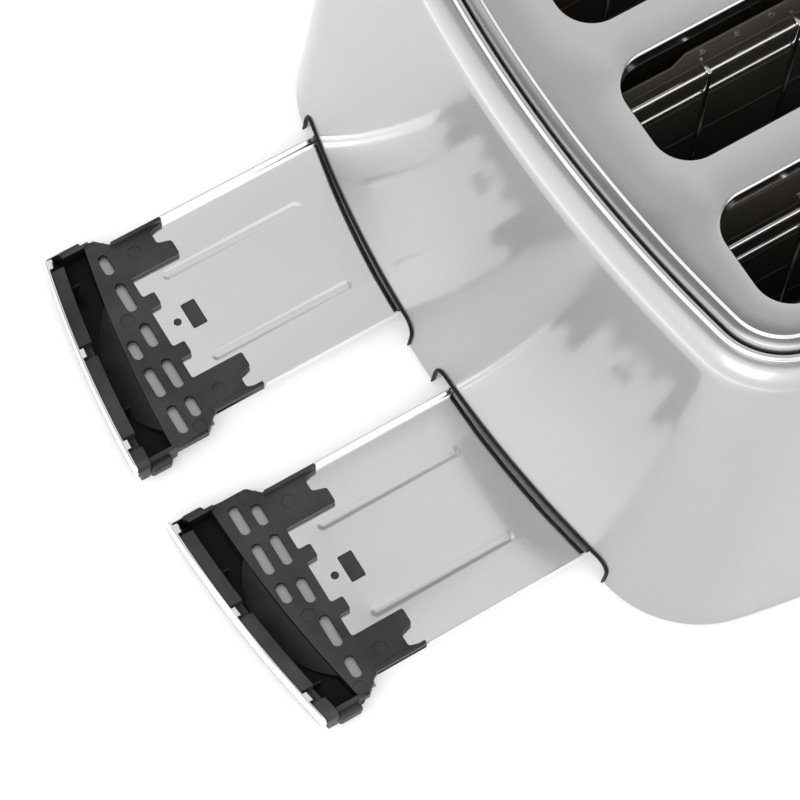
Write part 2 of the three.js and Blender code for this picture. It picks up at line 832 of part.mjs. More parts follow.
// Bread rack, a folded strip with upright teeth and a web that runs out through the front plate
function breadRack(middle) {
  const strip = block(middle - rackHalfWidth, middle + rackHalfWidth,
    -chassisY + sheet * 2, rackEnd, rackTop - sheet, rackTop);
  const web = block(middle - rackWeb, middle + rackWeb, -barY, rackEnd,
    rackTop - rackWebHeight, rackTop - sheet / 2);
  const pitch = (rackEnd * 2) / toothCount;
  const teeth = [];
  for (let i = 0; i < toothCount; i += 1) {
    const y = -rackEnd + pitch * (i + 0.5);
    const points = [
      [middle - rackHalfWidth, rackTop - sheet], [middle + rackHalfWidth, rackTop - sheet],
      [middle + rackHalfWidth, rackTop + toothHeight], [middle, rackTop + toothHeight / 3],
      [middle - rackHalfWidth, rackTop + toothHeight],
    ].map(([x, z]) => new THREE.Vector2(x, z));
    teeth.push(prismAlongY(points, y - sheet / 2, y + sheet / 2));
  }
  return join(strip, web, ...teeth);
}

// Carriage that slides on the guide rod, with the lever arm and the latch keeper
function carriage() {
  const bar = block(barInnerX, barOuterX, -barY - barThick, -barY, barFoot, barHead);
  const bush = post(rodX, -rodY, bushRadius, barFoot, barHead, roundSides);
  const bore = post(rodX, -rodY, rodRadius + seatGap, barFoot - overrun, barHead + overrun, boreSides);
  const arm = block(leverX - leverThick / 2, leverX + leverThick / 2, -leverReach, -barY,
    barFoot, barFoot + leverHeight);
  const keeper = block(magnetX - magnetWidth / 2, magnetX + magnetWidth / 2,
    -magnetY - magnetDepth / 2, -barY, barFoot, barFoot + keeperThick);
  const eye = block(springX - guideWire, springX + guideWire, -rodY - springRadius, -barY,
    barHead - keeperThick, barHead);
  return cut(join(bar, bush, arm, keeper, eye), bore);
}

function guideRod() {
  return post(rodX, -rodY, rodRadius, baseTop + seatGap, rodHead, boreSides);
}

function leverKnob() {
  const half = knobHeight / 2;
  const middle = barFoot + leverHeight / 2;
  const shape = new THREE.Shape(roundedRectangle(
    leverX - knobWidth / 2 + knobRound / 2, leverX + knobWidth / 2 - knobRound / 2,
    middle - half + knobRound / 2, middle + half - knobRound / 2, knobRound, cornerFacets));
  const solid = new THREE.ExtrudeGeometry(shape, {
    depth: knobDepth - knobRound, bevelEnabled: true, bevelSegments: 1,
    bevelThickness: knobRound / 2, bevelSize: knobRound / 2,
  });
  solid.rotateX(Math.PI / 2).translate(0, -knobBack - knobRound / 2, 0);
  const socket = block(
    leverX - leverThick / 2 - seatGap, leverX + leverThick / 2 + seatGap, -leverReach - seatGap, -knobBack + overrun,
    barFoot - seatGap, barFoot + leverHeight + seatGap);
  return cut(solid, socket);
}

// Return spring, one unbroken helix between the carriage eye and the bracket
function springPath() {
  const low = barHead + seatGap * 2;
  const high = bracketZ - seatGap * 2;
  const points = [];
  const steps = springTurns * springTurnSteps;
  for (let i = 0; i <= steps; i += 1) {
    const angle = (2 * Math.PI * i) / springTurnSteps;
    points.push(new THREE.Vector3(
      springX + springRadius * Math.cos(angle), -rodY + springRadius * Math.sin(angle),
      low + springWire + (high - low - springWire * 2) * (i / steps)));
  }
  return points;
}

function returnSpring() {
  const path = new THREE.CatmullRomCurve3(springPath());
  const section = new THREE.Shape(arcPoints(new THREE.Vector2(0, 0), springWire, 0, 2 * Math.PI, springSides));
  return new THREE.ExtrudeGeometry(section, {
    steps: springTurns * springTurnSteps, extrudePath: path, bevelEnabled: false,
  });
}

// Electromagnet that holds the carriage down
function latchMagnet() {
  const high = magnetHead;
  const half = magnetWidth / 2;
  const y0 = -magnetY - magnetDepth / 2;
  const coil = block(magnetX - half, magnetX + half, y0, y0 + magnetDepth, baseTop + sheet * 2, high - sheet * 2);
  const core = block(magnetX - half / 2, magnetX + half / 2, -magnetY - magnetDepth / 4,
    -magnetY + magnetDepth / 4, baseTop, high);
  return join(coil, core);
}

// Control panel moulding with bosses for the boards
function boardSpots() {
  return [boardInner + bossRadius * 2, boardOuter - bossRadius * 2].flatMap((x) =>
    [-1, 1].map((side) => [x, side * (boardHalfHeight - bossRadius * 2)]));
}

function bossAt(x, z) {
  const drop = wallY(0, panelZ) - wallY(x, panelZ);
  const front = drop - bossWeld;
  const back = boardDepth - seatGap;
  const peg = new THREE.CylinderGeometry(bossRadius, bossRadius, back - front, wireSides);
  return onControlPanel(peg.translate(x, (front + back) / 2, z));
}

function stadium(halfWidth, halfHeight, x, z, y0, y1) {
  const points = roundedRectangle(
    x - halfWidth, x + halfWidth, z - halfHeight, z + halfHeight, halfHeight * roundShare, smallFacets);
  return prismAlongY(points, y0, y1);
}

function controlFascia() {
  const skin = overlap(
    wallBand(panelThick, seatGap, wallFoot, wallHead),
    prismAlongY(controlWindow(0), -foot.halfDepth - overrun * 2, -rodY));
  const frame = overlap(
    wallBand(seatGap * 2, -overrun, wallFoot, wallHead),
    prismAlongY(controlWindow(windowMargin + slideGap), -foot.halfDepth - overrun * 2, -rodY));
  const inside = prismAlongY(controlWindow(windowMargin + slideGap + mouldWall), -foot.halfDepth, -rodY);
  const lip = cut(frame, overlap(inside, wallBand(seatGap, -overrun * 2, wallFoot, wallHead)));
  const bosses = boardSpots().map(([x, z]) => mergeVertices(bossAt(x, z)));
  const holes = [mergeVertices(onControlPanel(dialHole())), ...buttonZ.map((z) => mergeVertices(
    onControlPanel(stadium(buttonWidth / 2 + slideGap, buttonHeight / 2 + slideGap, dialX, z,
      -overrun * 2, overrun * 2))))];
  return cut(join(skin, lip, ...bosses, ...bosses.map(mirrored)), ...holes, ...holes.map(mirrored));
}

function dialHole() {
  const hole = new THREE.CylinderGeometry(shaftRadius + slideGap, shaftRadius + slideGap, overrun * 4, boreSides);
  return hole.translate(dialX, 0, dialZ);
}

// Browning dial with its shaft
function browningDial() {
  const face = panelThick + dialLift;
  const inner = boardDepth - switchHeight - seatGap * 2;
  const profile = [
    [0, face + dialDepth], ...dialShares.map(([r, y]) => [dialRadius * r, face + dialDepth * y]),
    [dialRadius, face], [shaftRadius, face], [shaftRadius, -inner], [0, -inner],
  ].map(([r, y]) => new THREE.Vector2(r, y)).reverse();
  const body = new THREE.LatheGeometry(profile, dialSides);
  body.rotateZ(Math.PI);
  const slot = block(-sheet, sheet, -face - dialDepth - overrun, -face - dialDepth + sheet,
    dialMark.from, dialMark.to);
  return onControlPanel(cut(body, slot).translate(dialX, 0, dialZ));
}

function pushButton(z) {
  const drop = wallY(0, panelZ) - wallY(dialX, panelZ);
  const front = -(panelThick + buttonProud) + drop;
  const head = stadium(buttonWidth / 2, buttonHeight / 2, dialX, z, front, overrun);
  const stemEnd = boardDepth - switchHeight - seatGap - buttonTravel;
  const stem = block(dialX - stemHalf, dialX + stemHalf, overrun - sheet, stemEnd, z - stemHalf, z + stemHalf);
  return onControlPanel(join(head, stem));
}

// Circuit board with the push switches, the dial's potentiometer and the relay
function circuitBoard() {
  const front = boardDepth;
  const board = block(boardInner, boardOuter, front, front + boardThick, -boardHalfHeight, boardHalfHeight);
  const switches = buttonZ.map((z) => block(dialX - stemHalf * 2, dialX + stemHalf * 2,
    front - switchHeight, front + boardThick / 2, z - stemHalf * 2, z + stemHalf * 2));
  const pot = new THREE.CylinderGeometry(shaftRadius * 2, shaftRadius * 2, switchHeight + boardThick / 2, roundSides);
  pot.translate(dialX, front - switchHeight / 2 + boardThick / 4, dialZ);
  const relay = block(boardInner + overrun, boardInner + overrun * 4, front + boardThick / 2,
    front + boardThick + switchHeight, -overrun * 3, overrun * 2);
  return onControlPanel(join(board, ...switches, pot, relay));
}

// Crumb tray sheet, folded up at the sides and the inner end, with two pressed beads
function bead(side, inset, z0, z1) {
  const half = beadWidth / 2 - inset;
  const x = trayCentre + side * beadOffset;
  const ring = (shrink, z) => roundedRectangle(
    x - half + shrink, x + half - shrink, beadStart + inset + shrink, beadEnd - inset - shrink,
    (half - shrink) * roundShare, smallFacets).map((p) => new THREE.Vector3(p.x, p.y, z));
  return loft([ring(0, z0), ring(beadHeight, z1)], false);
}

function crumbTray() {
  const x0 = trayCentre - trayHalfWidth;
  const x1 = trayCentre + trayHalfWidth;
  const top = trayFloorZ + trayMetal;
  const rim = trayFloorZ + trayWall;
  const floor = block(x0, x1, trayInnerEnd, trayMetalEnd, trayFloorZ, top);
  const walls = [
    block(x0, x0 + trayMetal, trayInnerEnd, trayWallEnd, trayFloorZ, rim),
    block(x1 - trayMetal, x1, trayInnerEnd, trayWallEnd, trayFloorZ, rim),
    block(x0, x1, trayInnerEnd, trayInnerEnd + trayMetal, trayFloorZ, rim),
  ];
  const ridges = [-1, 1].map((side) => bead(side, 0, top - trayMetal / 2, top + beadHeight));
  const hollows = [-1, 1].map((side) =>
    bead(side, trayMetal, trayFloorZ - trayMetal / 2, trayFloorZ + beadHollow));
  const latch = block(trayCentre - latchHole.halfWidth, trayCentre + latchHole.halfWidth,
    latchHole.start, latchHole.end, trayFloorZ - overrun, top + overrun);
  const pip = post(trayCentre, pipHole.y, pipHole.radius, trayFloorZ - overrun, top + overrun, boreSides);
  return cut(join(floor, ...walls, ...ridges), ...hollows, latch, pip);
}

// Plan of the black moulding, from the arms to the wall side line of the vent plate
function wallLine(halfWidth, depth) {
  const points = [];
  for (let i = 0; i <= wallSteps; i += 1) {
    const u = halfWidth - (2 * halfWidth * i) / wallSteps;
    points.push(new THREE.Vector2(trayCentre + u, wallY(trayCentre + u, trayFloorZ) - depth));
  }
  return points;
}

function armPlan() {
  const half = [
    [toothInner, recessLine], [toothInner, toothTip], [toothOuter, toothTip], [toothOuter, recessLine],
    [hookInner, recessLine], [hookInner, hookTip], [hookOuter, hookTip], [hookOuter + armRib, hookRoot],
    [armOuter - armRib * 2, hookRoot], [armOuter - armRib, armTip], [armOuter, armTip],
    [armOuter, recessLine], [flareOuter, flareY],
  ];
  const right = half.map(([u, y]) => new THREE.Vector2(trayCentre + u, y));
  const left = half.map(([u, y]) => new THREE.Vector2(trayCentre - u, y)).reverse();
  return [...left, ...right, ...wallLine(flareOuter, hollowBack)];
}

function platePlan() {
  const u = flareOuter - (flareOuter - armOuter) * ((flareY - plateStart) / (flareY - recessLine));
  return [
    new THREE.Vector2(trayCentre - u, plateStart), new THREE.Vector2(trayCentre + u, plateStart),
    new THREE.Vector2(trayCentre + flareOuter, flareY), ...wallLine(flareOuter, hollowBack),
    new THREE.Vector2(trayCentre - flareOuter, flareY),
  ];
}

function between(u0, u1, z0, z1) {
  return prismAlongY(
    [[u0, z0], [u1, z0], [u1, z1], [u0, z1]].map(([u, z]) => new THREE.Vector2(trayCentre + u, z)),
    chassisY, foot.halfDepth + overrun);
}

const plateTop = trayFloorZ + trayMetal + seatGap + plateSkin;

// Curved ramp in the finger hollow, falling from the vent plate to under the front bar
function fingerScoop() {
  const chord = wallLine(scoopHalf, hollowBack + mouldWall / 2);
  const edge = chord.map((p) => {
    const share = (p.x - trayCentre) / scoopHalf;
    return new THREE.Vector2(p.x, p.y + mouldWall / 2 + scoopReach * (1 - share ** 2));
  }).slice(1, -1);
  const ramp = prism([...chord, ...edge.reverse()], frontWallFoot + hollowFloor / 2, plateTop - sheet);
  const place = ramp.attributes.position;
  for (let i = 0; i < place.count; i += 1) {
    if (place.getZ(i) > trayFloorZ) {
      const into = place.getY(i) - wallY(place.getX(i), trayFloorZ) + hollowBack + mouldWall / 2;
      place.setZ(i, place.getZ(i) - into * scoopSlope);
    }
  }
  return ramp;
}

function trayFront() {
  const high = faceHead - faceFoot;
  const arms = prism(armPlan(), plateTop - plateSkin, plateTop);
  const plate = prism(platePlan(), plateTop - plateThick, plateTop - plateSkin / 2);
  const ribs = [-1, 1].map((side) => {
    const [u0, u1] = side > 0 ? [armOuter - armRib, armOuter] : [-armOuter, armRib - armOuter];
    return block(trayCentre + u0, trayCentre + u1, armTip, recessLine, plateTop - plateSkin,
      trayFloorZ + trayWall);
  });
  const tongue = block(trayCentre - tongueHalf, trayCentre + tongueHalf, latchHole.start - overrun / 2,
    plateStart + overrun, trayFloorZ - seatGap - tongueThick, trayFloorZ - seatGap);
  const innerWall = overlap(
    wallBand(-hollowBack, -hollowBack - mouldWall, frontWallFoot, plateTop),
    between(-flareOuter, flareOuter, frontWallFoot - overrun, plateTop));
  const floor = overlap(
    wallBand(-hollowFront + sheet, -hollowBack - sheet, frontWallFoot, frontWallFoot + hollowFloor),
    between(-flareOuter, flareOuter, 0, high));
  const bar = overlap(
    wallBand(-sheet - seatGap, -hollowFront, frontWallFoot, frontWallHead),
    prismAlongY(roundedRectangle(trayCentre - faceHalfWidth + seatGap, trayCentre + faceHalfWidth - seatGap,
      frontWallFoot - overrun, frontWallHead - sheet / 2, faceCorner, cornerFacets), chassisY, foot.halfDepth + overrun));
  const ends = [-1, 1].map((side) => overlap(
    wallBand(-hollowFront + sheet, -hollowBack - sheet, frontWallFoot, plateTop + sheet),
    between(side > 0 ? flareOuter - mouldWall : -flareOuter, side > 0 ? flareOuter : mouldWall - flareOuter,
      0, plateTop + sheet)));
  const lugs = [-1, 1].map((side) => overlap(
    wallBand(-lugFront + sheet * 3, -lugBack, frontWallFoot, frontWallFoot + lugHeight),
    between(side > 0 ? flareOuter - sheet : -lugOuter, side > 0 ? lugOuter : sheet - flareOuter, 0, high)));
  const body = join(arms, plate, ...ribs, tongue, innerWall, floor, bar, ...ends, ...lugs, fingerScoop());
  return cut(body, ...ventCutters(), ...clipGaps());
}

function ventCutters() {
  return vents.map(({ row, from, to }) => prism(
    roundedRectangle(trayCentre + from, trayCentre + to, row - ventWidth / 2, row + ventWidth / 2,
      (ventWidth / 2) * roundShare, smallFacets),
    plateTop - plateThick - overrun, plateTop + overrun));
}

const clipSpots = [-clipInner, clipMiddle, clipOuter];

function clipGaps() {
  return clipSpots.map((u) => overlap(
    wallBand(overrun, -hollowFront - sheet, faceHead - clipGapDepth, faceHead + overrun),
    between(u - clipHalf - barSlack, u + clipHalf + barSlack, faceHead - clipGapDepth - overrun,
      faceHead + overrun * 2)));
}

// Stainless face with three clips that hook back over the moulding
function trayFace() {
  const plate = overlap(
    wallBand(0, -sheet, faceFoot, faceHead),
    prismAlongY(roundedRectangle(trayCentre - faceHalfWidth, trayCentre + faceHalfWidth, faceFoot,
      faceHead, faceCorner, cornerFacets), chassisY, foot.halfDepth + overrun));
  const clips = clipSpots.map((u) => overlap(
    wallBand(-sheet / 2, -sheet - clipReach, faceHead - sheet, faceHead),
    between(u - clipHalf, u + clipHalf, faceHead - overrun, faceHead + overrun)));
  return join(plate, ...clips);
}

// Body and base
piece('outer_shell', outerShell(), steel);
piece('top_trim_ring', trimRing(), trimChrome);
piece('top_panel', topPanel(), steel);
piece('base_moulding', baseMoulding(), blackPlastic);
pair('foot_front', rubberFoot(1, -1), rubber);
pair('foot_rear', rubberFoot(1, 1), rubber);
piece('cord_gland', cordGland(), rubber);
pair('tray_opening_liner', openingLiner(), blackPlastic);

// Chassis and heaters
piece('chassis_plate_front', frontPlate(), galvanised);
piece('chassis_plate_rear', chassisPlate(1, []), galvanised);
pair('heat_shield', heatShield(), galvanised);
pair('heater_card_inner', heaterCard(cardEdgeX, [1]), mica);
pair('heater_card_middle', heaterCard(slotPitch, [-1, 1]), mica);
pair('heater_card_outer', heaterCard(slotPitch * 2 - cardEdgeX, [-1]), mica);

// Bread guides, racks and carriages
[['inner', slotMiddles[2]], ['outer', slotMiddles[3]]].forEach(([place, middle]) => {
  pair(`guide_${place}_slot_near`, breadGuide(middle, -1), guideNickel);
  pair(`guide_${place}_slot_far`, breadGuide(middle, 1), guideNickel);
  pair(`bread_rack_${place}`, breadRack(middle), galvanised);
});
pair('carriage', carriage(), galvanised);
pair('guide_rod', guideRod(), guideNickel);
pair('return_spring', returnSpring(), guideNickel);
pair('lever_knob', leverKnob(), glossPlastic);
pair('latch_magnet', latchMagnet(), copperCoil);

// Controls
piece('control_fascia', controlFascia(), glossPlastic);
pair('circuit_board', circuitBoard(), boardGreen);
pair('browning_dial', browningDial(), trimChrome);
buttonNames.forEach((name, i) => pair(`${name}_button`, pushButton(buttonZ[i]), trimChrome));

// Crumb trays, drawn out together
const drawn = new THREE.Group();
drawn.position.y = trayDrawn;
toaster.add(drawn);
pair('crumb_tray', crumbTray(), trayTin, drawn);
pair('tray_front', trayFront(), blackPlastic, drawn);
pair('tray_face', trayFace(), steel, drawn);

// Origin at the middle of the whole footprint, on the counter
toaster.updateMatrixWorld(true);
const reach = new THREE.Box3().setFromObject(toaster);
toaster.position.y = -(reach.min.y + reach.max.y) / 2;

export default toaster;
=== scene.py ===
# Electric toaster with four slots, both crumb trays drawn out at the back
import math

import bmesh
import bpy
from mathutils import Matrix, Vector


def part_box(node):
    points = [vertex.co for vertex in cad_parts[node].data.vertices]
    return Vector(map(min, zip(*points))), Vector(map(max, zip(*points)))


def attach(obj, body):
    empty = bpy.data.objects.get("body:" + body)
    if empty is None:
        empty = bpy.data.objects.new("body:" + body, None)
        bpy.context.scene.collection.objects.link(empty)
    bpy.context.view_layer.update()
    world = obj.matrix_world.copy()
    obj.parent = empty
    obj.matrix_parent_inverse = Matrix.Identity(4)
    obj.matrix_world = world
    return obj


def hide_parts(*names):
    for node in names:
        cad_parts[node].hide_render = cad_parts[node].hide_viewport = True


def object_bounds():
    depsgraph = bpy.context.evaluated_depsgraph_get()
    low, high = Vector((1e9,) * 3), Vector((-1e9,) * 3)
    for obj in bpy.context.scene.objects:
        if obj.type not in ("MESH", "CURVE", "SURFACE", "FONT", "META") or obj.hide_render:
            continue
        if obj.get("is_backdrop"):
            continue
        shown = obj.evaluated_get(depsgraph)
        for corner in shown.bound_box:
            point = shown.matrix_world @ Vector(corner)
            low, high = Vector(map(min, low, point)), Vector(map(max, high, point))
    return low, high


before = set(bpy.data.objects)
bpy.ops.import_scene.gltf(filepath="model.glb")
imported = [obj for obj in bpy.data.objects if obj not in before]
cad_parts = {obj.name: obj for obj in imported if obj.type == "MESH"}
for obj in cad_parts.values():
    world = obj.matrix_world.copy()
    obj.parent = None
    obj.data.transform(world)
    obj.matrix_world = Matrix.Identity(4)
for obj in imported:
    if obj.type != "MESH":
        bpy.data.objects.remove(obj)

cad_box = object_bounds()

# Sizes are in millimetres, measured from the middle of the body, and mm turns them into metres
mm = 0.001
merge_distance = 1e-6
shell_low, shell_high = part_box("outer_shell")
body_middle = Vector((0, (shell_low.y + shell_high.y) / 2 / mm, 0))
sides = {"right": 1, "left": -1}

# Body wall, shoulder and band
foot = {"half_width": 159, "half_depth": 140.5, "side_bow": 430, "end_bow": 500, "corner": 45}
shoulder = {"half_width": 143, "half_depth": 114, "side_bow": 450, "end_bow": 560, "corner": 36}
side_steps, corner_steps, end_steps = 14, 16, 18
wall_foot = 2
wall_head = 167
wall_rings = 12
band_width = 8.5
band_height = 9.8
band_rings = 10
band_top = wall_head + band_height
band_curve = [(0.95, 4.6), (2.2, 7), (5.2, band_height), (band_width, band_height)]
sheet = 0.8
seat_gap = 0.3

# Radii of rounded edges; fully round ends stop short of a half circle, so that no side has zero length
edge_radius = {"arm": 1.1, "bar": 1.3, "lug": 2.4, "rib": 0.6, "moulding": 0.22, "liner": 0.2, "face": 0.18,
               "fascia": 0.9, "post": 0.25, "card": 0.1}
round_share = 0.98

# Trim ring, groove and top panel
ring_inset = band_width + 0.05
ring_width = 2.75
ring_rise = 2.6
ring_crown = 1.4
ring_depth = 5
groove_width = 0.6
groove_below = 1.1
bevel_inset = ring_inset + ring_width + groove_width
bevel_width = 4.9
bevel_drop = 3.65
bevel_below = 0.35
bevel_line = [(0, bevel_drop), (0.08, 1.62), (0.25, 1.2), (0.9, 1.02), (1.8, 0.83), (2.7, 0.67), (3.6, 0.54),
              (3.9, 0.5), (4.05, 0.45), (4.6, 0.12), (4.75, 0.04), (bevel_width, 0)]
panel_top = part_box("top_panel")[1].z / mm
slot_pitch = 60
slot_half_width = 21.4
slot_half_length = 75.5
slot_corner = 13
slot_roll = 1.3
slot_lip = 7

# Tray openings, control window and lever slots in the shell
tray_middle = slot_pitch
opening_half = 51.8
opening_head = 15.7
opening_corner = 6.4
window_half_width = 51
window_half_height = 43
window_middle = 78
window_corner = 7
lever_x = 78
lever_slot = {"half": 3, "low": 13, "high": 101}
cut_from = 85
cut_past = 20

# Crumb trays
tray_drawn = 119
tray_half = 40.8
tray_floor = 8
tray_wall = 5
tray_metal = 0.6
tray_bend = 1
tray_inner_end = -86
tray_wall_end = 79
tray_metal_end = 103.5
bead = {"offset": 19.75, "width": 5.6, "round": 0.999, "slope": 0.8, "height": 0.12, "start": 28.5,
        "end": 91}
latch_hole = {"half": 5.7, "start": 84.4, "end": 90.5, "corner": 0.6}
pip_hole = {"y": 94.6, "radius": 1.6}
tray_nose = {"in": 0.4, "cut": 1.4, "deep": 1}
face_half = 48.6
face_foot = 7.4
face_head = 14.4
face_corner = 3

# Black moulding at the front of each tray, from its middle line and from the wall
arm = {"outer": 41.3, "tip": 79.5, "rib": 1.6, "hook_tip": 80, "hook_root": 85.5, "hook_inner": 24.3,
       "hook_outer": 31, "recess": 101.5, "tooth_tip": 96.5, "tooth_inner": 9, "tooth_outer": 15}
flare = {"outer": 46.5, "y": 107}
plate = {"start": 104, "thick": 4.4, "skin": 2, "top": 10.9}
tongue = {"half": 8, "start": 82.4, "end": 108, "thick": 1.3}
hollow = {"back": 17.6, "front": 6.6, "floor": 1, "wall": 1.6, "half": 46}
bar = {"low": 3, "high": 14}
bar_undercut = 2.9
lug = {"outer": 49.6, "front": 6.6, "back": 16, "height": 6}
scoop = {"half": 28.5, "reach": 10, "drop": 2.3, "rise": 4.4, "power": 2.6, "fall": 1.5,
         "right": -8, "left": 5.5}
block_head = 30
vent_width = 4.2
vents = [(107, 29.8, 39), (107, 11.7, 25.2), (107, -5.5, 5.5), (114.6, -7.4, 1.4),
         (107, -25.2, -11.7), (114.6, -25.2, -11.7), (107, -39, -29.8), (114.6, -42.6, -29.8)]
vent_zone = {"y": 110.8, "half_depth": 6.2, "half": 43.4}
ejector_marks = [(33.5, 95), (-33.5, 95), (43, 109), (-43, 108.6), (9.3, 111.2)]
ejector_mark = {"radius": 2.9, "depth": 0.45}
hollow_ribs = [-22, 33]
clip_spots = [-37, 4.5, 44]
clip_half = 1.9
clip_profile = [(-0.4, -2.5), (-0.4, -0.35), (-0.75, 0), (-2.4, -0.2), (-2.9, -0.9), (-2.9, -1.6),
                (-2.5, -1.2), (-0.95, -0.7), (-0.75, -2.5)]
clip_gap = {"half": 3.1, "deep": 4.8}
liner = {"thick": 0.7, "proud": 1, "depth": 5, "head": 22}

# Control panel, keys and dials
wall_lean = math.atan2(foot["half_depth"] - shoulder["half_depth"], wall_head - wall_foot)
panel_proud = 2.2
panel_half = (58, 50)
panel_corner = 14
panel_cut = {"beyond": 5, "depth": 8}
key = {"half_width": 10, "half_height": 4.5, "gap": 0.2, "proud": 3, "foot": -1, "fillet": 1.2,
       "rows": [6, 21, 36]}
grip = {"round": 0.9, "fillet": 3.2}
pad = {"chamfer": 0.3, "dome": 0.4, "tip": 0.15}
dial = {"x": 30, "z": -27, "shaft": 3.2, "ribs": 44, "rib_depth": 0.55, "mark": (4.6, 11.4),
        "mark_half": 0.7, "mark_corner": 0.6, "mark_proud": 0.12, "print_depth": 0.3,
        "dots": 7, "dot_ring": 20, "dot_size": (0.55, 0.3), "dot_proud": 0.06, "sweep": 270}
dial_profile = [
    (15.2, 3.2, 0), (15.9, 3.5, 0), (16, 4, 0), (16, 6.2, 0), (15.8, 6.6, 0), (15.1, 6.9, 0), (14.5, 7.1, 0),
    (14.5, 7.7, 0), (14.9, 8.1, 0.5), (15, 8.7, 1), (14.8, 14.6, 1), (14.7, 15.2, 0.5), (14.5, 15.7, 0),
    (14.1, 16.6, 0), (13.5, 17.3, 0), (12.8, 17.8, 0), (12.3, 18, 0), (11.9, 18.02, 0), (11.6, 17.8, 0),
    (6, 17.7, 0), (0.4, 17.68, 0)]

# Bread guides and heater cards
guide_offset = 15.5
guide_wire = 1
guide_rails = [156, 143, 46]
guide_posts = 3
guide_pitch = 37
guide_post = 1.5
guide_overlap = 0.12
guide_tip = {"share": 0.6, "length": 0.4}
guide_tail = 4.5
guide_long = 81.1
guide_short = 78.8
card_edge = 8
card_rivets = {"count": 6, "out": 0.45, "start": -35, "z": 159, "pitch": 14}
rivet_profile = [(1.5, -0.3), (1.5, 0.25), (1.1, 0.6), (0.4, 0.75)]

# Light tent: brightness from the tray side (-1) to the control side (1)
tent_power = 1.8
tent_light = [(-1, 1.1), (1, 0.9), (-0.3, 1.7), (0, 1.6), (0.08, 0.8), (0.13, 0.24), (0.26, 0.26),
              (0.31, 0.76), (0.4, 0.72), (0.438, 0.54), (0.455, 0.6), (0.49, 0.94)]
tent_dim = {"From Min": 0.1, "From Max": 0.7, "To Min": 1.12 * tent_power, "To Max": tent_power}

# White paper, whose own light grows towards the back, and one soft lamp
paper_glow = {"From Min": 0.3, "From Max": 0.55, "To Min": 0.22, "To Max": 1.7}
paper_white = (0.78, 0.78, 0.78, 1)
floor_reach = 4
lamp = {"spot": (-0.75, 1.0, 1.5), "aim": (0, 0, 0.08), "size": 1.1, "power": 9}

# Depth of the materials' fine relief, in metres
relief_depth = 0.0002

# Camera: the picture's width and the focal length in pixels
photo_width = 800
focal_length = 2878
sensor_width = 36
camera_spot = (-379.3, 322.4, 1015.3)
camera_aim = (-30.44, 114.85, 60)


# Mesh helpers
def new_object(name, mesh):
    piece = bpy.data.objects.new(name, mesh)
    bpy.context.scene.collection.objects.link(piece)
    return piece


def work_object(name, work):
    """Object from a bmesh, which is then freed"""
    mesh = bpy.data.meshes.new(name)
    work.to_mesh(mesh)
    work.free()
    return new_object(name, mesh)


def soften(mesh, angle):
    """Smooth shading, with the edges that turn by more than an angle kept sharp"""
    work = bmesh.new()
    work.from_mesh(mesh)
    for face in work.faces:
        face.smooth = True
    for edge in work.edges:
        edge.smooth = len(edge.link_faces) == 2 and edge.calc_face_angle(0) < math.radians(angle)
    work.to_mesh(mesh)
    work.free()


def mesh_object(name, points, faces, shift=body_middle):
    """Object from points in millimetres, with its doubles merged and its faces turned outwards"""
    mesh = bpy.data.meshes.new(name)
    mesh.from_pydata([(Vector(p) + shift) * mm for p in points], [], faces)
    work = bmesh.new()
    work.from_mesh(mesh)
    bmesh.ops.remove_doubles(work, verts=work.verts, dist=merge_distance)
    bmesh.ops.recalc_face_normals(work, faces=work.faces)
    work.to_mesh(mesh)
    work.free()
    return new_object(name, mesh)


def apply_modifiers(piece):
    """The finished mesh takes the place of the live modifiers"""
    bpy.context.view_layer.update()
    graph = bpy.context.evaluated_depsgraph_get()
    mesh = bpy.data.meshes.new_from_object(piece.evaluated_get(graph))
    piece.modifiers.clear()
    piece.data = mesh
    return piece


def thicken(piece, depth):
    """Gives a sheet its metal, on the side away from its faces"""
    solid = piece.modifiers.new("metal", "SOLIDIFY")
    solid.thickness = depth * mm
    solid.offset = -1
    solid.use_even_offset = True
    return apply_modifiers(piece)


def combine(piece, other, operation):
    """Boolean cut or overlap with a tool that is then removed"""
    change = piece.modifiers.new("change", "BOOLEAN")
    change.operation = operation
    change.solver = "EXACT"
    change.object = other
    apply_modifiers(piece)
    assert piece.data.polygons, piece.name
    bpy.data.objects.remove(other)
    return piece


def round_edges(piece, width, steps=2, angle=30):
    edge = piece.modifiers.new("edges", "BEVEL")
    edge.width = width * mm
    edge.segments = steps
    edge.limit_method = "ANGLE"
    edge.angle_limit = math.radians(angle)
    return apply_modifiers(piece)


def place(piece, body, material, slot, stands_for=(), angle=32):
    """Shading, material, body and CAD nodes of a finished piece"""
    soften(piece.data, angle)
    piece.data.materials.clear()
    piece.data.materials.append(material)
    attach(piece, body)
    if stands_for:
        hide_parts(*stands_for)


def loft(rings, closed=False):
    """Points and faces through rings of equal counts, left open or closed on itself"""
    count = len(rings[0])
    points = [p for ring in rings for p in ring]
    faces = []
    for r in range(len(rings) if closed else len(rings) - 1):
        low, high = r * count, (r + 1) % len(rings) * count
        for i in range(count):
            j = (i + 1) % count
            faces.append((low + i, low + j, high + j, high + i))
    return points, faces


def capped(name, rings, shift=body_middle):
    """Solid through rings of equal counts, with its two ends closed"""
    points, faces = loft(rings)
    count, total = len(rings[0]), len(points)
    faces += [tuple(range(count)), tuple(range(total - 1, total - count - 1, -1))]
    return mesh_object(name, points, faces, shift)


def prism_between(name, shape, start, end, across):
    """Straight prism of an outline: across puts an outline point and a depth in place"""
    return capped(name, [[across(u, v, depth) for u, v in shape] for depth in (start, end)])


def circle(radius, steps, x=0, y=0):
    turns = [2 * math.pi * i / steps for i in range(steps)]
    return [(x + radius * math.cos(t), y + radius * math.sin(t)) for t in turns]


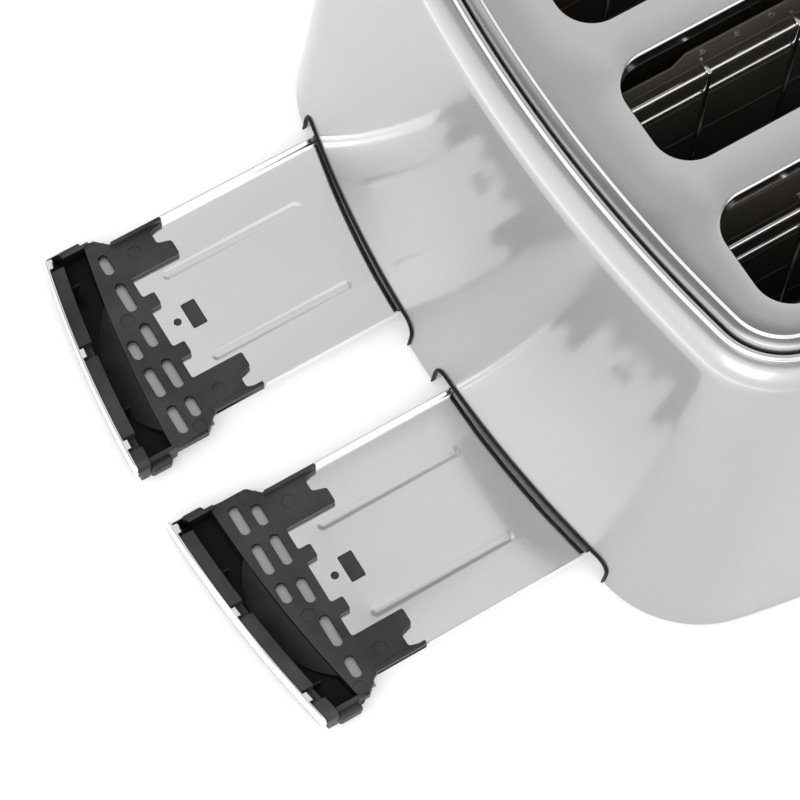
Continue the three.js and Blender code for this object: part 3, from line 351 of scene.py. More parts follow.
def rounded_rectangle(x0, x1, y0, y1, radius, steps=8):
    points = []
    corners = [(x1 - radius, y0 + radius, -90), (x1 - radius, y1 - radius, 0),
               (x0 + radius, y1 - radius, 90), (x0 + radius, y0 + radius, 180)]
    for x, y, start in corners:
        for i in range(steps + 1):
            turn = math.radians(start + 90 * i / steps)
            points.append((x + radius * math.cos(turn), y + radius * math.sin(turn)))
    return points


def rounded_box(x, half_x, y, half_y, radius, steps=8):
    """Rounded rectangle about its middle"""
    return rounded_rectangle(x - half_x, x + half_x, y - half_y, y + half_y, radius, steps)


# Body outlines: four bowed sides joined by corner arcs
def arc(middle, radius, start, end, steps):
    turns = [start + (end - start) * i / steps for i in range(steps)]
    return [middle + radius * Vector((math.cos(t), math.sin(t))) for t in turns]


def outline(size, inset):
    side = Vector((size["half_width"] - size["side_bow"], 0))
    end = Vector((0, size["half_depth"] - size["end_bow"]))
    from_side = size["side_bow"] - size["corner"]
    from_end = size["end_bow"] - size["corner"]
    apart = end - side
    gap = apart.length
    along = (from_side ** 2 - from_end ** 2 + gap ** 2) / (2 * gap)
    off = math.sqrt(from_side ** 2 - along ** 2)
    apart.normalize()
    middle = side + apart * along + Vector((-apart.y, apart.x)) * off
    side_turn = math.atan2(middle.y - side.y, middle.x - side.x)
    end_turn = math.atan2(middle.y - end.y, middle.x - end.x)
    quarter = arc(side, size["side_bow"] - inset, 0, side_turn, side_steps)
    quarter += arc(middle, size["corner"] - inset, side_turn, end_turn, corner_steps)
    quarter += arc(end, size["end_bow"] - inset, end_turn, math.pi / 2, end_steps)
    half = quarter + [Vector((0, size["half_depth"] - inset))]
    half += [Vector((-p.x, p.y)) for p in reversed(quarter[1:])]
    return half + [-p for p in half]


def ring_at(size, inset, z):
    return [(p.x, p.y, z) for p in outline(size, inset)]


def wall_ring(z, out=0):
    """Ring of the leaning wall, which passes from the foot's outline to the shoulder's"""
    share = (z - wall_foot) / (wall_head - wall_foot)
    low, high = ring_at(foot, -out, z), ring_at(shoulder, -out, z)
    return [Vector(a).lerp(Vector(b), share) for a, b in zip(low, high)]


def wall_band(name, out, inn, low, high):
    rings = [wall_ring(low, out), wall_ring(high, out), wall_ring(high, inn), wall_ring(low, inn)]
    return mesh_object(name, *loft(rings, closed=True))


def wall_y(x, z):
    share = (z - wall_foot) / (wall_head - wall_foot)

    def depth(size):
        return size["half_depth"] - size["end_bow"] + math.sqrt(size["end_bow"] ** 2 - x ** 2)

    return depth(foot) * (1 - share) + depth(shoulder) * share


# Shared shader groups
def math_node(tree, kind, first, second):
    node = tree.nodes.new("ShaderNodeMath")
    node.operation = kind
    for socket, value in zip(node.inputs, (first, second)):
        if isinstance(value, (int, float)):
            socket.default_value = value
        else:
            tree.links.new(value, socket)
    return node.outputs[0]


def add_node(tree, kind, values=(), **settings):
    """New node, with its settings and then the values of its inputs"""
    node = tree.nodes.new(kind)
    for title, value in settings.items():
        setattr(node, title, value)
    set_inputs(node, dict(values))
    return node


def set_inputs(node, values):
    for title, value in values.items():
        node.inputs[title].default_value = value


def link_all(tree, *rows):
    """Links, each from a node and its output to a node and its input"""
    for source, title, target, socket in rows:
        tree.links.new(source.outputs[title], target.inputs[socket])


def start_group(name, values, marks_scale, marks_detail):
    """Group with its inputs, its outputs and the slow noise of its marks"""
    group = bpy.data.node_groups.new(name, "ShaderNodeTree")
    group.interface.new_socket("Vector", in_out="INPUT", socket_type="NodeSocketVector")
    for title, kind, value in values:
        socket = group.interface.new_socket(title, in_out="INPUT", socket_type=f"NodeSocket{kind}")
        socket.default_value = value
    for title in ("Height", "Roughness", "Marks"):
        group.interface.new_socket(title, in_out="OUTPUT", socket_type="NodeSocketFloat")
    start = group.nodes.new("NodeGroupInput")
    marks = add_node(group, "ShaderNodeTexNoise", {"Scale": marks_scale, "Detail": marks_detail})
    link_all(group, (start, "Vector", marks, "Vector"))
    return group, start, marks.outputs["Fac"]


def end_group(group, start, height, wave, middle, marks):
    """Outputs of a group, whose roughness swings as the wave does about its middle"""
    centred = math_node(group, "SUBTRACT", wave, middle)
    swing = math_node(group, "MULTIPLY", centred, start.outputs["Variation"])
    rough = math_node(group, "ADD", start.outputs["Roughness"], swing)
    end = group.nodes.new("NodeGroupOutput")
    for title, socket in (("Height", height), ("Roughness", rough), ("Marks", marks)):
        group.links.new(socket, end.inputs[title])
    return group


def metal_grain_group():
    """Fine drawn lines and slow soft marks, for every rolled sheet"""
    values = [("Stretch", "Vector", (1, 1, 1)), ("Line Scale", "Float", 900), ("Roughness", "Float", 0.3),
              ("Variation", "Float", 0.05)]
    group, start, marks = start_group("metal_grain", values, 22, 4)
    stretch = add_node(group, "ShaderNodeVectorMath", operation="MULTIPLY")
    lines = add_node(group, "ShaderNodeTexNoise", {"Detail": 3})
    link_all(group, (start, "Vector", stretch, 0), (start, "Stretch", stretch, 1),
             (stretch, 0, lines, "Vector"), (start, "Line Scale", lines, "Scale"))
    both = math_node(group, "ADD", lines.outputs["Fac"], marks)
    return end_group(group, start, lines.outputs["Fac"], both, 1.0, marks)


def moulded_grain_group():
    """Spark eroded texture of moulded plastic and rubber, with faint handling marks"""
    values = [("Grain Scale", "Float", 1400), ("Roughness", "Float", 0.45), ("Variation", "Float", 0.1)]
    group, start, marks = start_group("moulded_grain", values, 45, 5)
    grain = group.nodes.new("ShaderNodeTexVoronoi")
    link_all(group, (start, "Vector", grain, "Vector"), (start, "Grain Scale", grain, "Scale"))
    return end_group(group, start, grain.outputs["Distance"], marks, 0.5, marks)


metal_grain = metal_grain_group()
moulded_grain = moulded_grain_group()


def grained(name, group, values, dark, light, metallic, bump, constants):
    """Material whose roughness, tint and fine relief come from a grain group"""
    material = bpy.data.materials.new(name)
    material.use_nodes = True
    tree = material.node_tree
    shader = tree.nodes["Principled BSDF"]
    set_inputs(shader, {title.replace("_", " "): value for title, value in constants.items()})
    shader.inputs["Metallic"].default_value = metallic
    spot = tree.nodes.new("ShaderNodeTexCoord")
    grain = add_node(tree, "ShaderNodeGroup", node_tree=group)
    set_inputs(grain, values)
    tint = add_node(tree, "ShaderNodeMix", {"A": (*dark, 1), "B": (*light, 1)}, data_type="RGBA")
    relief = add_node(tree, "ShaderNodeBump", {"Strength": bump, "Distance": relief_depth})
    link_all(tree, (spot, "Object", grain, "Vector"), (grain, "Marks", tint, "Factor"),
             (tint, "Result", shader, "Base Color"), (grain, "Roughness", shader, "Roughness"),
             (grain, "Height", relief, "Height"), (relief, "Normal", shader, "Normal"))
    return material


def metal(name, roughness, variation, dark, light, bump, stretch=(1, 1, 1), lines=900, **constants):
    values = {"Stretch": stretch, "Line Scale": lines, "Roughness": roughness, "Variation": variation}
    return grained(name, metal_grain, values, dark, light, 1, bump, constants)


def moulded(name, roughness, variation, dark, light, bump, grain=1400, **constants):
    values = {"Grain Scale": grain, "Roughness": roughness, "Variation": variation}
    return grained(name, moulded_grain, values, dark, light, 0, bump, constants)


def grey(value, warm=0.0):
    return (value * (1 + warm), value, value * (1 - warm))


satin_steel = metal("satin_steel", 0.42, 0.05, grey(0.36), grey(0.4), 0.06, (1, 1, 12),
                    Coat_Weight=1, Coat_Roughness=0.1, Coat_IOR=1.65)
panel_steel = metal("panel_steel", 0.16, 0.05, grey(0.53), grey(0.57), 0.06, (14, 1, 1))
bevel_steel = metal("bevel_steel", 0.14, 0.04, grey(0.6), grey(0.68), 0.02)
trim_chrome = metal("trim_chrome", 0.12, 0.04, grey(0.54), grey(0.6), 0.02)
tray_tin = metal("tray_tin", 0.12, 0.08, grey(0.84), grey(0.9), 0.05, (10, 1, 10))
face_steel = metal("face_steel", 0.24, 0.05, grey(0.86), grey(0.9), 0.03, (1, 12, 12))
# Zinc plate of the inner works, darkened partly for heat and age and partly as painted shade deep in the
# slots
aged_shaded_zinc = metal("aged_shaded_zinc", 0.42, 0.14, grey(0.2), grey(0.3), 0.1, lines=120)
nickel_wire = metal("nickel_wire", 0.2, 0.1, grey(0.62, 0.02), grey(0.72, 0.02), 0.03)
dial_metal = metal("dial_metal", 0.24, 0.08, grey(0.5), grey(0.58), 0.05)
coil_copper = metal("coil_copper", 0.3, 0.08, (0.5, 0.22, 0.1), (0.62, 0.3, 0.14), 0.2, (1, 1, 30))
charcoal_plastic = moulded("charcoal_plastic", 0.42, 0.35, grey(0.002), grey(0.052), 0.18,
                           Specular_IOR_Level=0.34)
# Painted shade: a near-black copy of the black plastic for the faces deep in the finger hollow and inside
# the vents
deep_shade_plastic = moulded("deep_shade_plastic", 0.6, 0.1, grey(0.004), grey(0.006), 0.1,
                         Specular_IOR_Level=0.12)
# Painted shade: a darker, duller copy of the black plastic for the scoop's ramp down in the hollow, also
# used on the opening liners
half_shade_plastic = moulded("half_shade_plastic", 0.5, 0.1, grey(0.007), grey(0.011), 0.1, Specular_IOR_Level=0.2)
gloss_plastic = moulded("gloss_plastic", 0.16, 0.05, grey(0.012), grey(0.016), 0.03, Coat_Weight=0.5)
dot_print = moulded("dot_print", 0.5, 0.1, grey(0.6), grey(0.68), 0.05)
foot_rubber = moulded("foot_rubber", 0.75, 0.1, grey(0.02), grey(0.03), 0.3, 700)
# Mica of the heater cards, darkened partly for heat and age and partly as painted shade deep in the slots
aged_shaded_mica = moulded("aged_shaded_mica", 0.55, 0.25, (0.045, 0.04, 0.034), (0.1, 0.085, 0.065), 0.2, 260)
board_green = moulded("board_green", 0.4, 0.1, (0.02, 0.12, 0.05), (0.03, 0.17, 0.07), 0.1, 300)


# Outer shell
def shell_rings():
    steps = [wall_foot + (wall_head - wall_foot) * i / wall_rings for i in range(wall_rings + 1)]
    rings = [wall_ring(z) for z in steps]
    for i in range(band_rings + 1):
        share = i / band_rings
        pull = [(1 - share) ** 3, 3 * share * (1 - share) ** 2, 3 * share ** 2 * (1 - share), share ** 3]
        rings.append(ring_at(shoulder, sum(w * p[0] for w, p in zip(pull, band_curve)),
                             wall_head + sum(w * p[1] for w, p in zip(pull, band_curve))))
    return rings


def through_wall(points, sign):
    """Tool with an outline in X and Z that cuts one end wall"""
    return prism_between("tool", points, sign * cut_from, sign * (foot["half_depth"] + cut_past),
                         lambda u, v, depth: (u, depth, v))


def outer_shell():
    shell = thicken(mesh_object("shell_skin", *loft(shell_rings())), sheet)
    for sign in sides.values():
        opening = rounded_box(sign * tray_middle, opening_half, 0, opening_head, opening_corner)
        combine(shell, through_wall(opening, 1), "DIFFERENCE")
        slot = rounded_rectangle(
            sign * lever_x - lever_slot["half"], sign * lever_x + lever_slot["half"],
            lever_slot["low"], lever_slot["high"], lever_slot["half"] * round_share, 5)
        combine(shell, through_wall(slot, -1), "DIFFERENCE")
    window = rounded_box(0, window_half_width, window_middle, window_half_height, window_corner)
    combine(shell, through_wall(window, -1), "DIFFERENCE")
    place(shell, "housing", satin_steel, "shell_steel", ["outer_shell"])


# Chrome trim ring
def trim_ring():
    head = band_top + ring_rise
    base = panel_top - bevel_drop - ring_depth
    profile = [(0, base), (0, head - ring_crown)]
    for i in range(1, 9):
        turn = math.pi * i / 9
        profile.append((ring_width * (1 - math.cos(turn)) / 2,
                        head - ring_crown + ring_crown * math.sin(turn)))
    profile += [(ring_width, head - ring_crown), (ring_width, base)]
    rings = [ring_at(shoulder, ring_inset + across, z) for across, z in profile]
    ring = mesh_object("trim_ring_bright", *loft(rings, closed=True))
    place(ring, "housing", trim_chrome, "trim_chrome", ["top_trim_ring"], 40)


# Top panel: bevelled edge, flat plate and rolled slot rims, as one folded sheet
def slot_ring(middle, out, z):
    points = rounded_box(middle, slot_half_width + out, 0, slot_half_length + out, slot_corner + out, 14)
    return [(x, y, z) for x, y in points]


def join_rows(work, rows, closed=True):
    """Faces between rows of points, also from their ends to their starts where they are closed"""
    for low, high in zip(rows, rows[1:]):
        for i in range(len(low) if closed else len(low) - 1):
            j = (i + 1) % len(low)
            work.faces.new((low[i], low[j], high[j], high[i]))


def add_rings(work, rings):
    """Adds open lofted rings to a bmesh and gives back their rows of points"""
    rows = [[work.verts.new((Vector(p) + body_middle) * mm) for p in ring] for ring in rings]
    join_rows(work, rows)
    return rows


def loop_edges(work, row):
    pairs = zip(row, row[1:] + row[:1])
    return [work.edges.get(pair) or work.edges.new(pair) for pair in pairs]


def folded_sheet(name, work, metal_depth):
    """Sheet with its metal below the drawn faces, the largest of which looks up"""
    bmesh.ops.remove_doubles(work, verts=work.verts, dist=merge_distance)
    bmesh.ops.recalc_face_normals(work, faces=work.faces)
    largest = max(work.faces, key=lambda face: face.calc_area())
    if largest.normal.z < 0:
        bmesh.ops.reverse_faces(work, faces=work.faces)
    return thicken(work_object(name, work), metal_depth)


def top_panel():
    work = bmesh.new()
    edge = [ring_at(shoulder, bevel_inset + across, panel_top - down) for across, down in bevel_line]
    bevel = add_rings(work, edge)
    loops = loop_edges(work, bevel[-1])
    for place_across in (-1.5, -0.5, 0.5, 1.5):
        rings = []
        for i in range(7):
            turn = math.pi / 2 * i / 6
            rings.append(slot_ring(place_across * slot_pitch, slot_roll * (1 - math.sin(turn)),
                                   panel_top - slot_roll * (1 - math.cos(turn))))
        rings.append(slot_ring(place_across * slot_pitch, 0, panel_top - slot_lip))
        rows = add_rings(work, rings)
        loops += loop_edges(work, rows[0])
    bmesh.ops.triangle_fill(work, use_beauty=True, edges=loops)
    panel = folded_sheet("slotted_panel", work, sheet)
    place(panel, "housing", panel_steel, "panel_steel", ["top_panel"])
    panel.data.materials.append(bevel_steel)
    panel.data.materials.append(satin_steel)
    groove_edge = (panel_top - groove_below) * mm
    low_edge = (panel_top - bevel_below) * mm
    inner = [Vector((p.x, p.y)) for p in outline(shoulder, bevel_inset + bevel_width - 0.2)]
    for face in panel.data.polygons:
        spot = face.center / mm - body_middle
        if face.center.z < low_edge and not inside(Vector((spot.x, spot.y)), inner):
            face.material_index = 2 if face.center.z < groove_edge else 1


def inside(spot, loop):
    """Whether a flat spot lies within a loop of points about the middle"""
    odd = False
    for a, b in zip(loop, loop[1:] + loop[:1]):
        if (a.y > spot.y) != (b.y > spot.y):
            if spot.x < (b.x - a.x) * (spot.y - a.y) / (b.y - a.y) + a.x:
                odd = not odd
    return odd


# Crumb tray sheet: floor with holes, pressed beads and folded walls
def crumb_tray(side, sign):
    work = bmesh.new()
    top = tray_floor + tray_metal
    shift = body_middle + Vector((sign * tray_middle, tray_drawn, 0))
    flat = tray_half - tray_bend

    def row(points, z):
        return [work.verts.new((Vector((u * sign, v, z)) + shift) * mm) for u, v in points]

    inner = tray_inner_end + tray_bend
    wide = tray_half - tray_nose["in"]
    narrow = tray_half - tray_nose["cut"]
    nose = tray_metal_end - tray_nose["deep"]
    half = [(flat, inner), (flat, tray_wall_end), (wide, tray_wall_end), (wide, nose),
            (narrow, tray_metal_end)]
    rim = row([(-flat, inner), *half, *[(-u, v) for u, v in half[:0:-1]]], top)
    loops = loop_edges(work, rim)
    hole = rounded_rectangle(-latch_hole["half"], latch_hole["half"], latch_hole["start"],
                             latch_hole["end"], latch_hole["corner"], 3)
    loops += loop_edges(work, row(hole, top))
    loops += loop_edges(work, row(circle(pip_hole["radius"], 20, 0, pip_hole["y"]), top))
    for offset in (-bead["offset"], bead["offset"]):
        rows = []
        for i in range(7):
            share = i / 6
            shrink = bead["width"] / 2 * share * bead["slope"]
            lift = bead["height"] * (1 - math.cos(math.pi * share)) / 2
            half = bead["width"] / 2 - shrink
            ring = rounded_rectangle(offset - half, offset + half, bead["start"] + shrink,
                                     bead["end"] - shrink, half * bead["round"], 10)
            rows.append(row(ring, top + lift))
        join_rows(work, rows)
        work.faces.new(rows[-1])
        loops += loop_edges(work, rows[0])
    bmesh.ops.triangle_fill(work, use_beauty=True, edges=loops)
    fold_walls(work, rim, row, flat, top)
    tray = folded_sheet(f"tray_sheet_{side}", work, tray_metal)
    place(tray, f"tray_{side}", tray_tin, "tray_tin", [f"crumb_tray_{side}"])


def fold_walls(work, rim, row, flat, top):
    """Bent up strips along both sides and the inner end of the tray floor"""
    bend = [(tray_bend * math.sin(a), tray_bend * (1 - math.cos(a)))
            for a in [math.pi / 2 * i / 5 for i in range(1, 6)]]
    bend.append((tray_bend, tray_wall - tray_metal))
    rows = [[rim[2], rim[1], rim[0], rim[9]]]
    for out, rise in bend:
        wide, end = flat + out, tray_inner_end + tray_bend - out
        rows.append(row([(wide, tray_wall_end), (wide, end), (-wide, end), (-wide, tray_wall_end)],
                        top + rise))
    join_rows(work, rows, closed=False)


# Black moulding: forked arms, vent plate, finger hollow with its scoop, bar and lugs
def rounded(points, radius, steps=3):
    """Closed outline with its corners rounded, as far as their sides allow"""
    result = []
    for before, here, after in zip(points[-1:] + points[:-1], points, points[1:] + points[:1]):
        here, before, after = Vector(here), Vector(before), Vector(after)
        reach = min(radius, (before - here).length / 3, (after - here).length / 3)
        start = here + (before - here).normalized() * reach
        end = here + (after - here).normalized() * reach
        for i in range(steps + 1):
            share = i / steps
            spot = start * (1 - share) ** 2 + here * 2 * share * (1 - share) + end * share ** 2
            result.append((spot.x, spot.y))
    return result


def wall_line(half, depth, steps=24):
    across = [half - 2 * half * i / steps for i in range(steps + 1)]
    return [(tray_middle + u, wall_y(tray_middle + u, tray_floor) - depth) for u in across]


def level(name, points, low, high):
    """Flat slab of a plan outline"""
    return prism_between(name, points, low, high, lambda u, v, z: (u, v, z))


def part_of_wall(out, inn, low, high, shape):
    """Piece of the leaning wall's curve, cut to an outline seen from behind"""
    band = wall_band("band", out, inn, low, high)
    return combine(band, through_wall(shape, 1), "INTERSECT")


def upright(u0, u1, low, high):
    return [(tray_middle + u0, low), (tray_middle + u1, low), (tray_middle + u1, high),
            (tray_middle + u0, high)]


def wall_block(out, inn, low, high, u0, u1):
    """Block that follows the wall, between two places across the tray"""
    return part_of_wall(out, inn, low, high, upright(u0, u1, 0, block_head))


def arm_outline():
    half = [(arm["tooth_inner"], arm["recess"]), (arm["tooth_inner"], arm["tooth_tip"]),
            (arm["tooth_outer"], arm["tooth_tip"]), (arm["tooth_outer"], arm["recess"]),
            (arm["hook_inner"], arm["recess"]), (arm["hook_inner"], arm["hook_tip"]),
            (arm["hook_outer"], arm["hook_tip"]), (arm["hook_outer"] + arm["rib"], arm["hook_root"]),
            (arm["outer"] - arm["rib"] * 2, arm["hook_root"]), (arm["outer"] - arm["rib"], arm["tip"]),
            (arm["outer"], arm["tip"]), (arm["outer"], arm["recess"]), (flare["outer"], flare["y"])]
    right = [(tray_middle + u, y) for u, y in half]
    left = [(tray_middle - u, y) for u, y in reversed(half)]
    return rounded(left + right, edge_radius["arm"]) + wall_line(flare["outer"], hollow["back"])


def plate_outline():
    share = (flare["y"] - plate["start"]) / (flare["y"] - arm["recess"])
    narrow = flare["outer"] - (flare["outer"] - arm["outer"]) * share
    return [(tray_middle - narrow, plate["start"]), (tray_middle + narrow, plate["start"]),
            (tray_middle + flare["outer"], flare["y"]), *wall_line(flare["outer"], hollow["back"]),
            (tray_middle - flare["outer"], flare["y"])]


def finger_scoop(offset):
    """Curved ramp that falls from the vent plate to the floor of the hollow"""
    across, along = 36, 8
    rings = []
    for i in range(across + 1):
        side = 1 - 2 * i / across
        u = offset + scoop["half"] * side
        deep = scoop["reach"] * max(1 - abs(side) ** scoop["power"], 0.01)
        back = wall_y(tray_middle + u, tray_floor) - hollow["back"] - hollow["wall"] / 2
        top, bottom = [], []
        for j in range(along + 1):
            share = j / along
            fall = scoop["rise"] * (1 - (1 - share * deep / scoop["reach"]) ** scoop["fall"])
            top.append((tray_middle + u, back + deep * share + hollow["wall"] / 2 * (j > 0),
                        plate["top"] - scoop["drop"] - fall))
            bottom.append((tray_middle + u, top[-1][1], bar["low"] + 0.4))
        rings.append(top + bottom[::-1])
    return capped("scoop", rings)


def both_ends(u0, u1):
    """A span across the tray and its mirror image"""
    return (u0, u1), (-u1, -u0)


def tray_moulding(gaps, scoop_offset):
    """Moulding over the right side's tray, pushed in, with the bar cut away at its clips

    Small steps of 0.02 to 0.1 keep any two of its parts' faces out of one plane.
    """
    top, low, front, back, outer = plate["top"], bar["low"], hollow["front"], hollow["back"], flare["outer"]
    body = level("moulding", arm_outline(), top - plate["skin"], top)
    depth = back + 0.8
    side = outer + 0.07
    bar_shape = rounded_rectangle(tray_middle - face_half + seat_gap, tray_middle + face_half - seat_gap,
                                  low - 4, bar["high"] - 0.4, face_corner + 1)
    pieces = [
        level("plate", plate_outline(), top - plate["thick"], top - plate["skin"] / 2),
        wall_block(-back, -back - hollow["wall"], low + 0.05, top - 0.35, -outer + 0.1, outer - 0.1),
        wall_block(-front + 0.8, -depth, low + 0.02, low + hollow["floor"], -outer + 0.05, outer - 0.05),
        part_of_wall(-bar_undercut, -front, low, face_foot + 0.4, bar_shape),
        part_of_wall(-sheet - seat_gap, -front, face_foot + 0.3, bar["high"], bar_shape),
        finger_scoop(scoop_offset),
    ]
    round_edges(pieces[4], edge_radius["bar"], 4)
    for u0, u1 in both_ends(side - hollow["wall"], side):
        pieces.append(wall_block(-front + 0.9, -depth - 0.1, low + 0.07, top + 0.8, u0, u1))
    for u0, u1 in both_ends(outer - 0.8, lug["outer"]):
        end = wall_block(-lug["front"], -lug["back"], low + 0.03, low + lug["height"], u0, u1)
        pieces.append(round_edges(end, edge_radius["lug"], 5))
    for u in hollow_ribs:
        pieces.append(wall_block(-front + 1, -front - 4, low + 0.5, top - 1, u - 0.35, u + 0.35))
    for u0, u1 in both_ends(arm["outer"] - arm["rib"], arm["outer"]):
        rib = rounded(upright(u0, u1, arm["tip"], arm["recess"]), edge_radius["rib"])
        pieces.append(level("rib", rib, top - plate["skin"] + 0.1, tray_floor + tray_wall))
    under = upright(-tongue["half"], tongue["half"], tongue["start"], tongue["end"])
    pieces.append(level("tongue", under, tray_floor - seat_gap - tongue["thick"], tray_floor - seat_gap))
    for extra in pieces:
        combine(body, extra, "UNION")
    half = vent_width / 2
    for y, start, end in vents:
        vent = rounded_rectangle(tray_middle + start, tray_middle + end, y - half, y + half,
                                 half * round_share)
        combine(body, level("tool", vent, 0, top + 4), "DIFFERENCE")
    for u in gaps:
        gap = upright(u - clip_gap["half"], u + clip_gap["half"], face_head - 5, block_head)
        tool = part_of_wall(4, -front - 0.6, face_head - clip_gap["deep"], face_head + 4, gap)
        combine(body, tool, "DIFFERENCE")
    for u, y in ejector_marks:
        mark = circle(ejector_mark["radius"], 28, tray_middle + u, y)
        combine(body, level("tool", mark, top - ejector_mark["depth"], top + 1), "DIFFERENCE")
    round_edges(body, edge_radius["moulding"], 2, 35)
    return body


def drawn_out(piece):
    """Moves a piece of a closed tray to the place where the tray stands drawn"""
    piece.data.transform(Matrix.Translation((0, tray_drawn * mm, 0)))


def mirrored(piece):
    """Puts a piece on the other side of the middle plane, with its faces still turned outwards"""
    piece.data.transform(Matrix.Scale(-1, 4, (1, 0, 0)))
    piece.data.flip_normals()


def tray_lip(side, sign):
    """Strip of the tray's sheet that runs on under the vents of the moulding, in darker satin steel as
    painted shade under the moulding
    """
    half = flare["outer"] - 2
    spots = [(tray_middle - half, plate["start"] - 1), (tray_middle + half, plate["start"] - 1),
             *wall_line(half, hollow["back"] + hollow["wall"] / 2)]
    lip = level(f"tray_lip_{side}", spots, tray_floor, tray_floor + tray_metal)
    if sign < 0:
        mirrored(lip)
    drawn_out(lip)
    # Painted shade: the strip takes the darker satin steel, not the bright tin, so the vents above it look
    # grey
    place(lip, f"tray_{side}", satin_steel, "tray_tin")


def place_mouldings():
    for side, sign in sides.items():
        piece = tray_moulding([sign * u for u in clip_spots], scoop[side])
        piece.name = f"tray_moulding_{side}"
        if sign < 0:
            mirrored(piece)
        drawn_out(piece)
        place(piece, f"tray_{side}", charcoal_plastic, "black_plastic", [f"tray_front_{side}"])
        piece.data.materials.append(deep_shade_plastic)
        piece.data.materials.append(half_shade_plastic)
        # Painted shade: faces low in the finger hollow and the vents' inner walls take the near-black copy,
        # and the scoop's ramp the darker, duller copy
        for face in piece.data.polygons:
            spot = face.center / mm - body_middle
            x, y = abs(spot.x), spot.y - tray_drawn
            depth = wall_y(x, tray_floor) - y
            within = (hollow["front"] - 0.1 < depth < hollow["back"] + 0.1
                      and abs(x - tray_middle) < hollow["half"])
            ramp = face.normal.z > 0.12 and spot.z > bar["low"] + hollow["floor"] + 0.3
            vent = (abs(y - vent_zone["y"]) < vent_zone["half_depth"]
                    and abs(x - tray_middle) < vent_zone["half"] and abs(face.normal.z) < 0.3)
            low = spot.z < plate["top"] - 0.3
            if low and (vent or within and face.normal.z > -0.2):
                face.material_index = 2 if ramp and not vent else 1


# Black liner round each tray opening in the wall
def opening_liner(side, sign):
    head = opening_head - seat_gap
    half = opening_half - seat_gap
    middle = sign * tray_middle
    corner = opening_corner - seat_gap
    thick = liner["thick"]
    outer = rounded_box(middle, half, 0, head, corner)
    inner = rounded_box(middle, half - thick, 0, head - thick, corner - thick)
    # The liner takes the same darker, duller copy of the black plastic as the scoop's ramp
    for name, out, inn, finish, slot in (
            ("opening_liner", liner["proud"], -sheet, half_shade_plastic, "black_plastic"),
            ("opening_flange", -sheet - 0.1, -liner["depth"], satin_steel, "shell_steel")):
        band = wall_band(f"{name}_{side}", out, inn, wall_foot + seat_gap, liner["head"])
        combine(band, through_wall(outer, 1), "INTERSECT")
        combine(band, through_wall(inner, 1), "DIFFERENCE")
        round_edges(band, edge_radius["liner"])
        place(band, "housing", finish, slot, [f"tray_opening_liner_{side}"])


# Stainless face of a tray, clipped over the bar of the black moulding
def tray_face(side, sign):
    face = wall_band(f"tray_face_bright_{side}", 0, -sheet, face_foot - 1, face_head + 1)
    middle = sign * tray_middle
    border = rounded_rectangle(middle - face_half, middle + face_half, face_foot, face_head, face_corner)
    combine(face, through_wall(border, 1), "INTERSECT")
    round_edges(face, edge_radius["face"])
    drawn_out(face)
    place(face, f"tray_{side}", face_steel, "shell_steel", [f"tray_face_{side}"])
    for i, offset in enumerate(clip_spots):
        clip = face_clip(f"tray_clip_{i + 1}_{side}", middle + offset)
        place(clip, f"tray_{side}", face_steel, "shell_steel")


def face_clip(name, x):
    """Narrow spring tongue that turns over the top of the bar"""
    y = wall_y(x, face_head)
    slope = (wall_y(x + 1, face_head) - wall_y(x - 1, face_head)) / 2
    rings = [[(x + u, y + slope * u + depth + tray_drawn, face_head + rise) for depth, rise in clip_profile]
             for u in (-clip_half, clip_half)]
    return capped(name, rings)


# Browning dials, keys and levers' grips, on a leaning control panel
def on_panel(x, across, out):
    """Point from a place on the leaning control panel, whose middle is on the front wall"""
    return Vector((x, -wall_y(0, window_middle) - out * math.cos(wall_lean) + across * math.sin(wall_lean),
                   window_middle + out * math.sin(wall_lean) + across * math.cos(wall_lean)))


def control_panel():
    """Bowed plate over the shell's window, with holes for the dials' shafts and the keys"""
    wide, tall = panel_half
    panel = wall_band("fascia_panel", panel_proud, seat_gap, window_middle - tall - panel_cut["beyond"],
                      window_middle + tall + panel_cut["beyond"])
    border = rounded_box(0, wide, window_middle, tall, panel_corner, 14)
    combine(panel, through_wall(border, -1), "INTERSECT")
    round_edges(panel, edge_radius["fascia"], 4, 40)
    for x in (-dial["x"], dial["x"]):
        holes = [circle(dial["shaft"], 24, 0, dial["z"])]
        holes += [rounded_box(0, key["half_width"] + key["gap"], z, key["half_height"] + key["gap"],
                              key["half_height"]) for z in key["rows"]]
        for hole in holes:
            tool = prism_between("tool", hole, -panel_cut["depth"], panel_cut["depth"],
                                 lambda u, v, out: on_panel(x + u, v, out))
            combine(panel, tool, "DIFFERENCE")
    place(panel, "housing", gloss_plastic, "gloss_black", ["control_fascia"], 40)


def soft_pad(name, sizes, radius, fillet, ends, across):
    """Pad with a rounded outline, a rounded front edge and a slightly domed face"""
    x, z, half_width, half_height = sizes
    low, high = ends
    dome = min(pad["dome"], fillet / 3)
    steps = [(pad["chamfer"], low), (0, low + pad["chamfer"])]
    for i in range(9):
        turn = math.pi / 2 * i / 8
        steps.append((fillet * (1 - math.cos(turn)), high - dome - fillet * (1 - math.sin(turn))))
    deepest = half_height - pad["tip"]
    for i in range(1, 6):
        share = i / 5
        steps.append((fillet + (deepest - fillet) * share, high - dome * (1 - share) ** 2))
    rings = []
    for inset, out in steps:
        shape = rounded_box(x, half_width - inset, z, half_height - inset, max(radius - inset, 0.1))
        rings.append([across(u, v, out) for u, v in shape])
    return capped(name, rings)


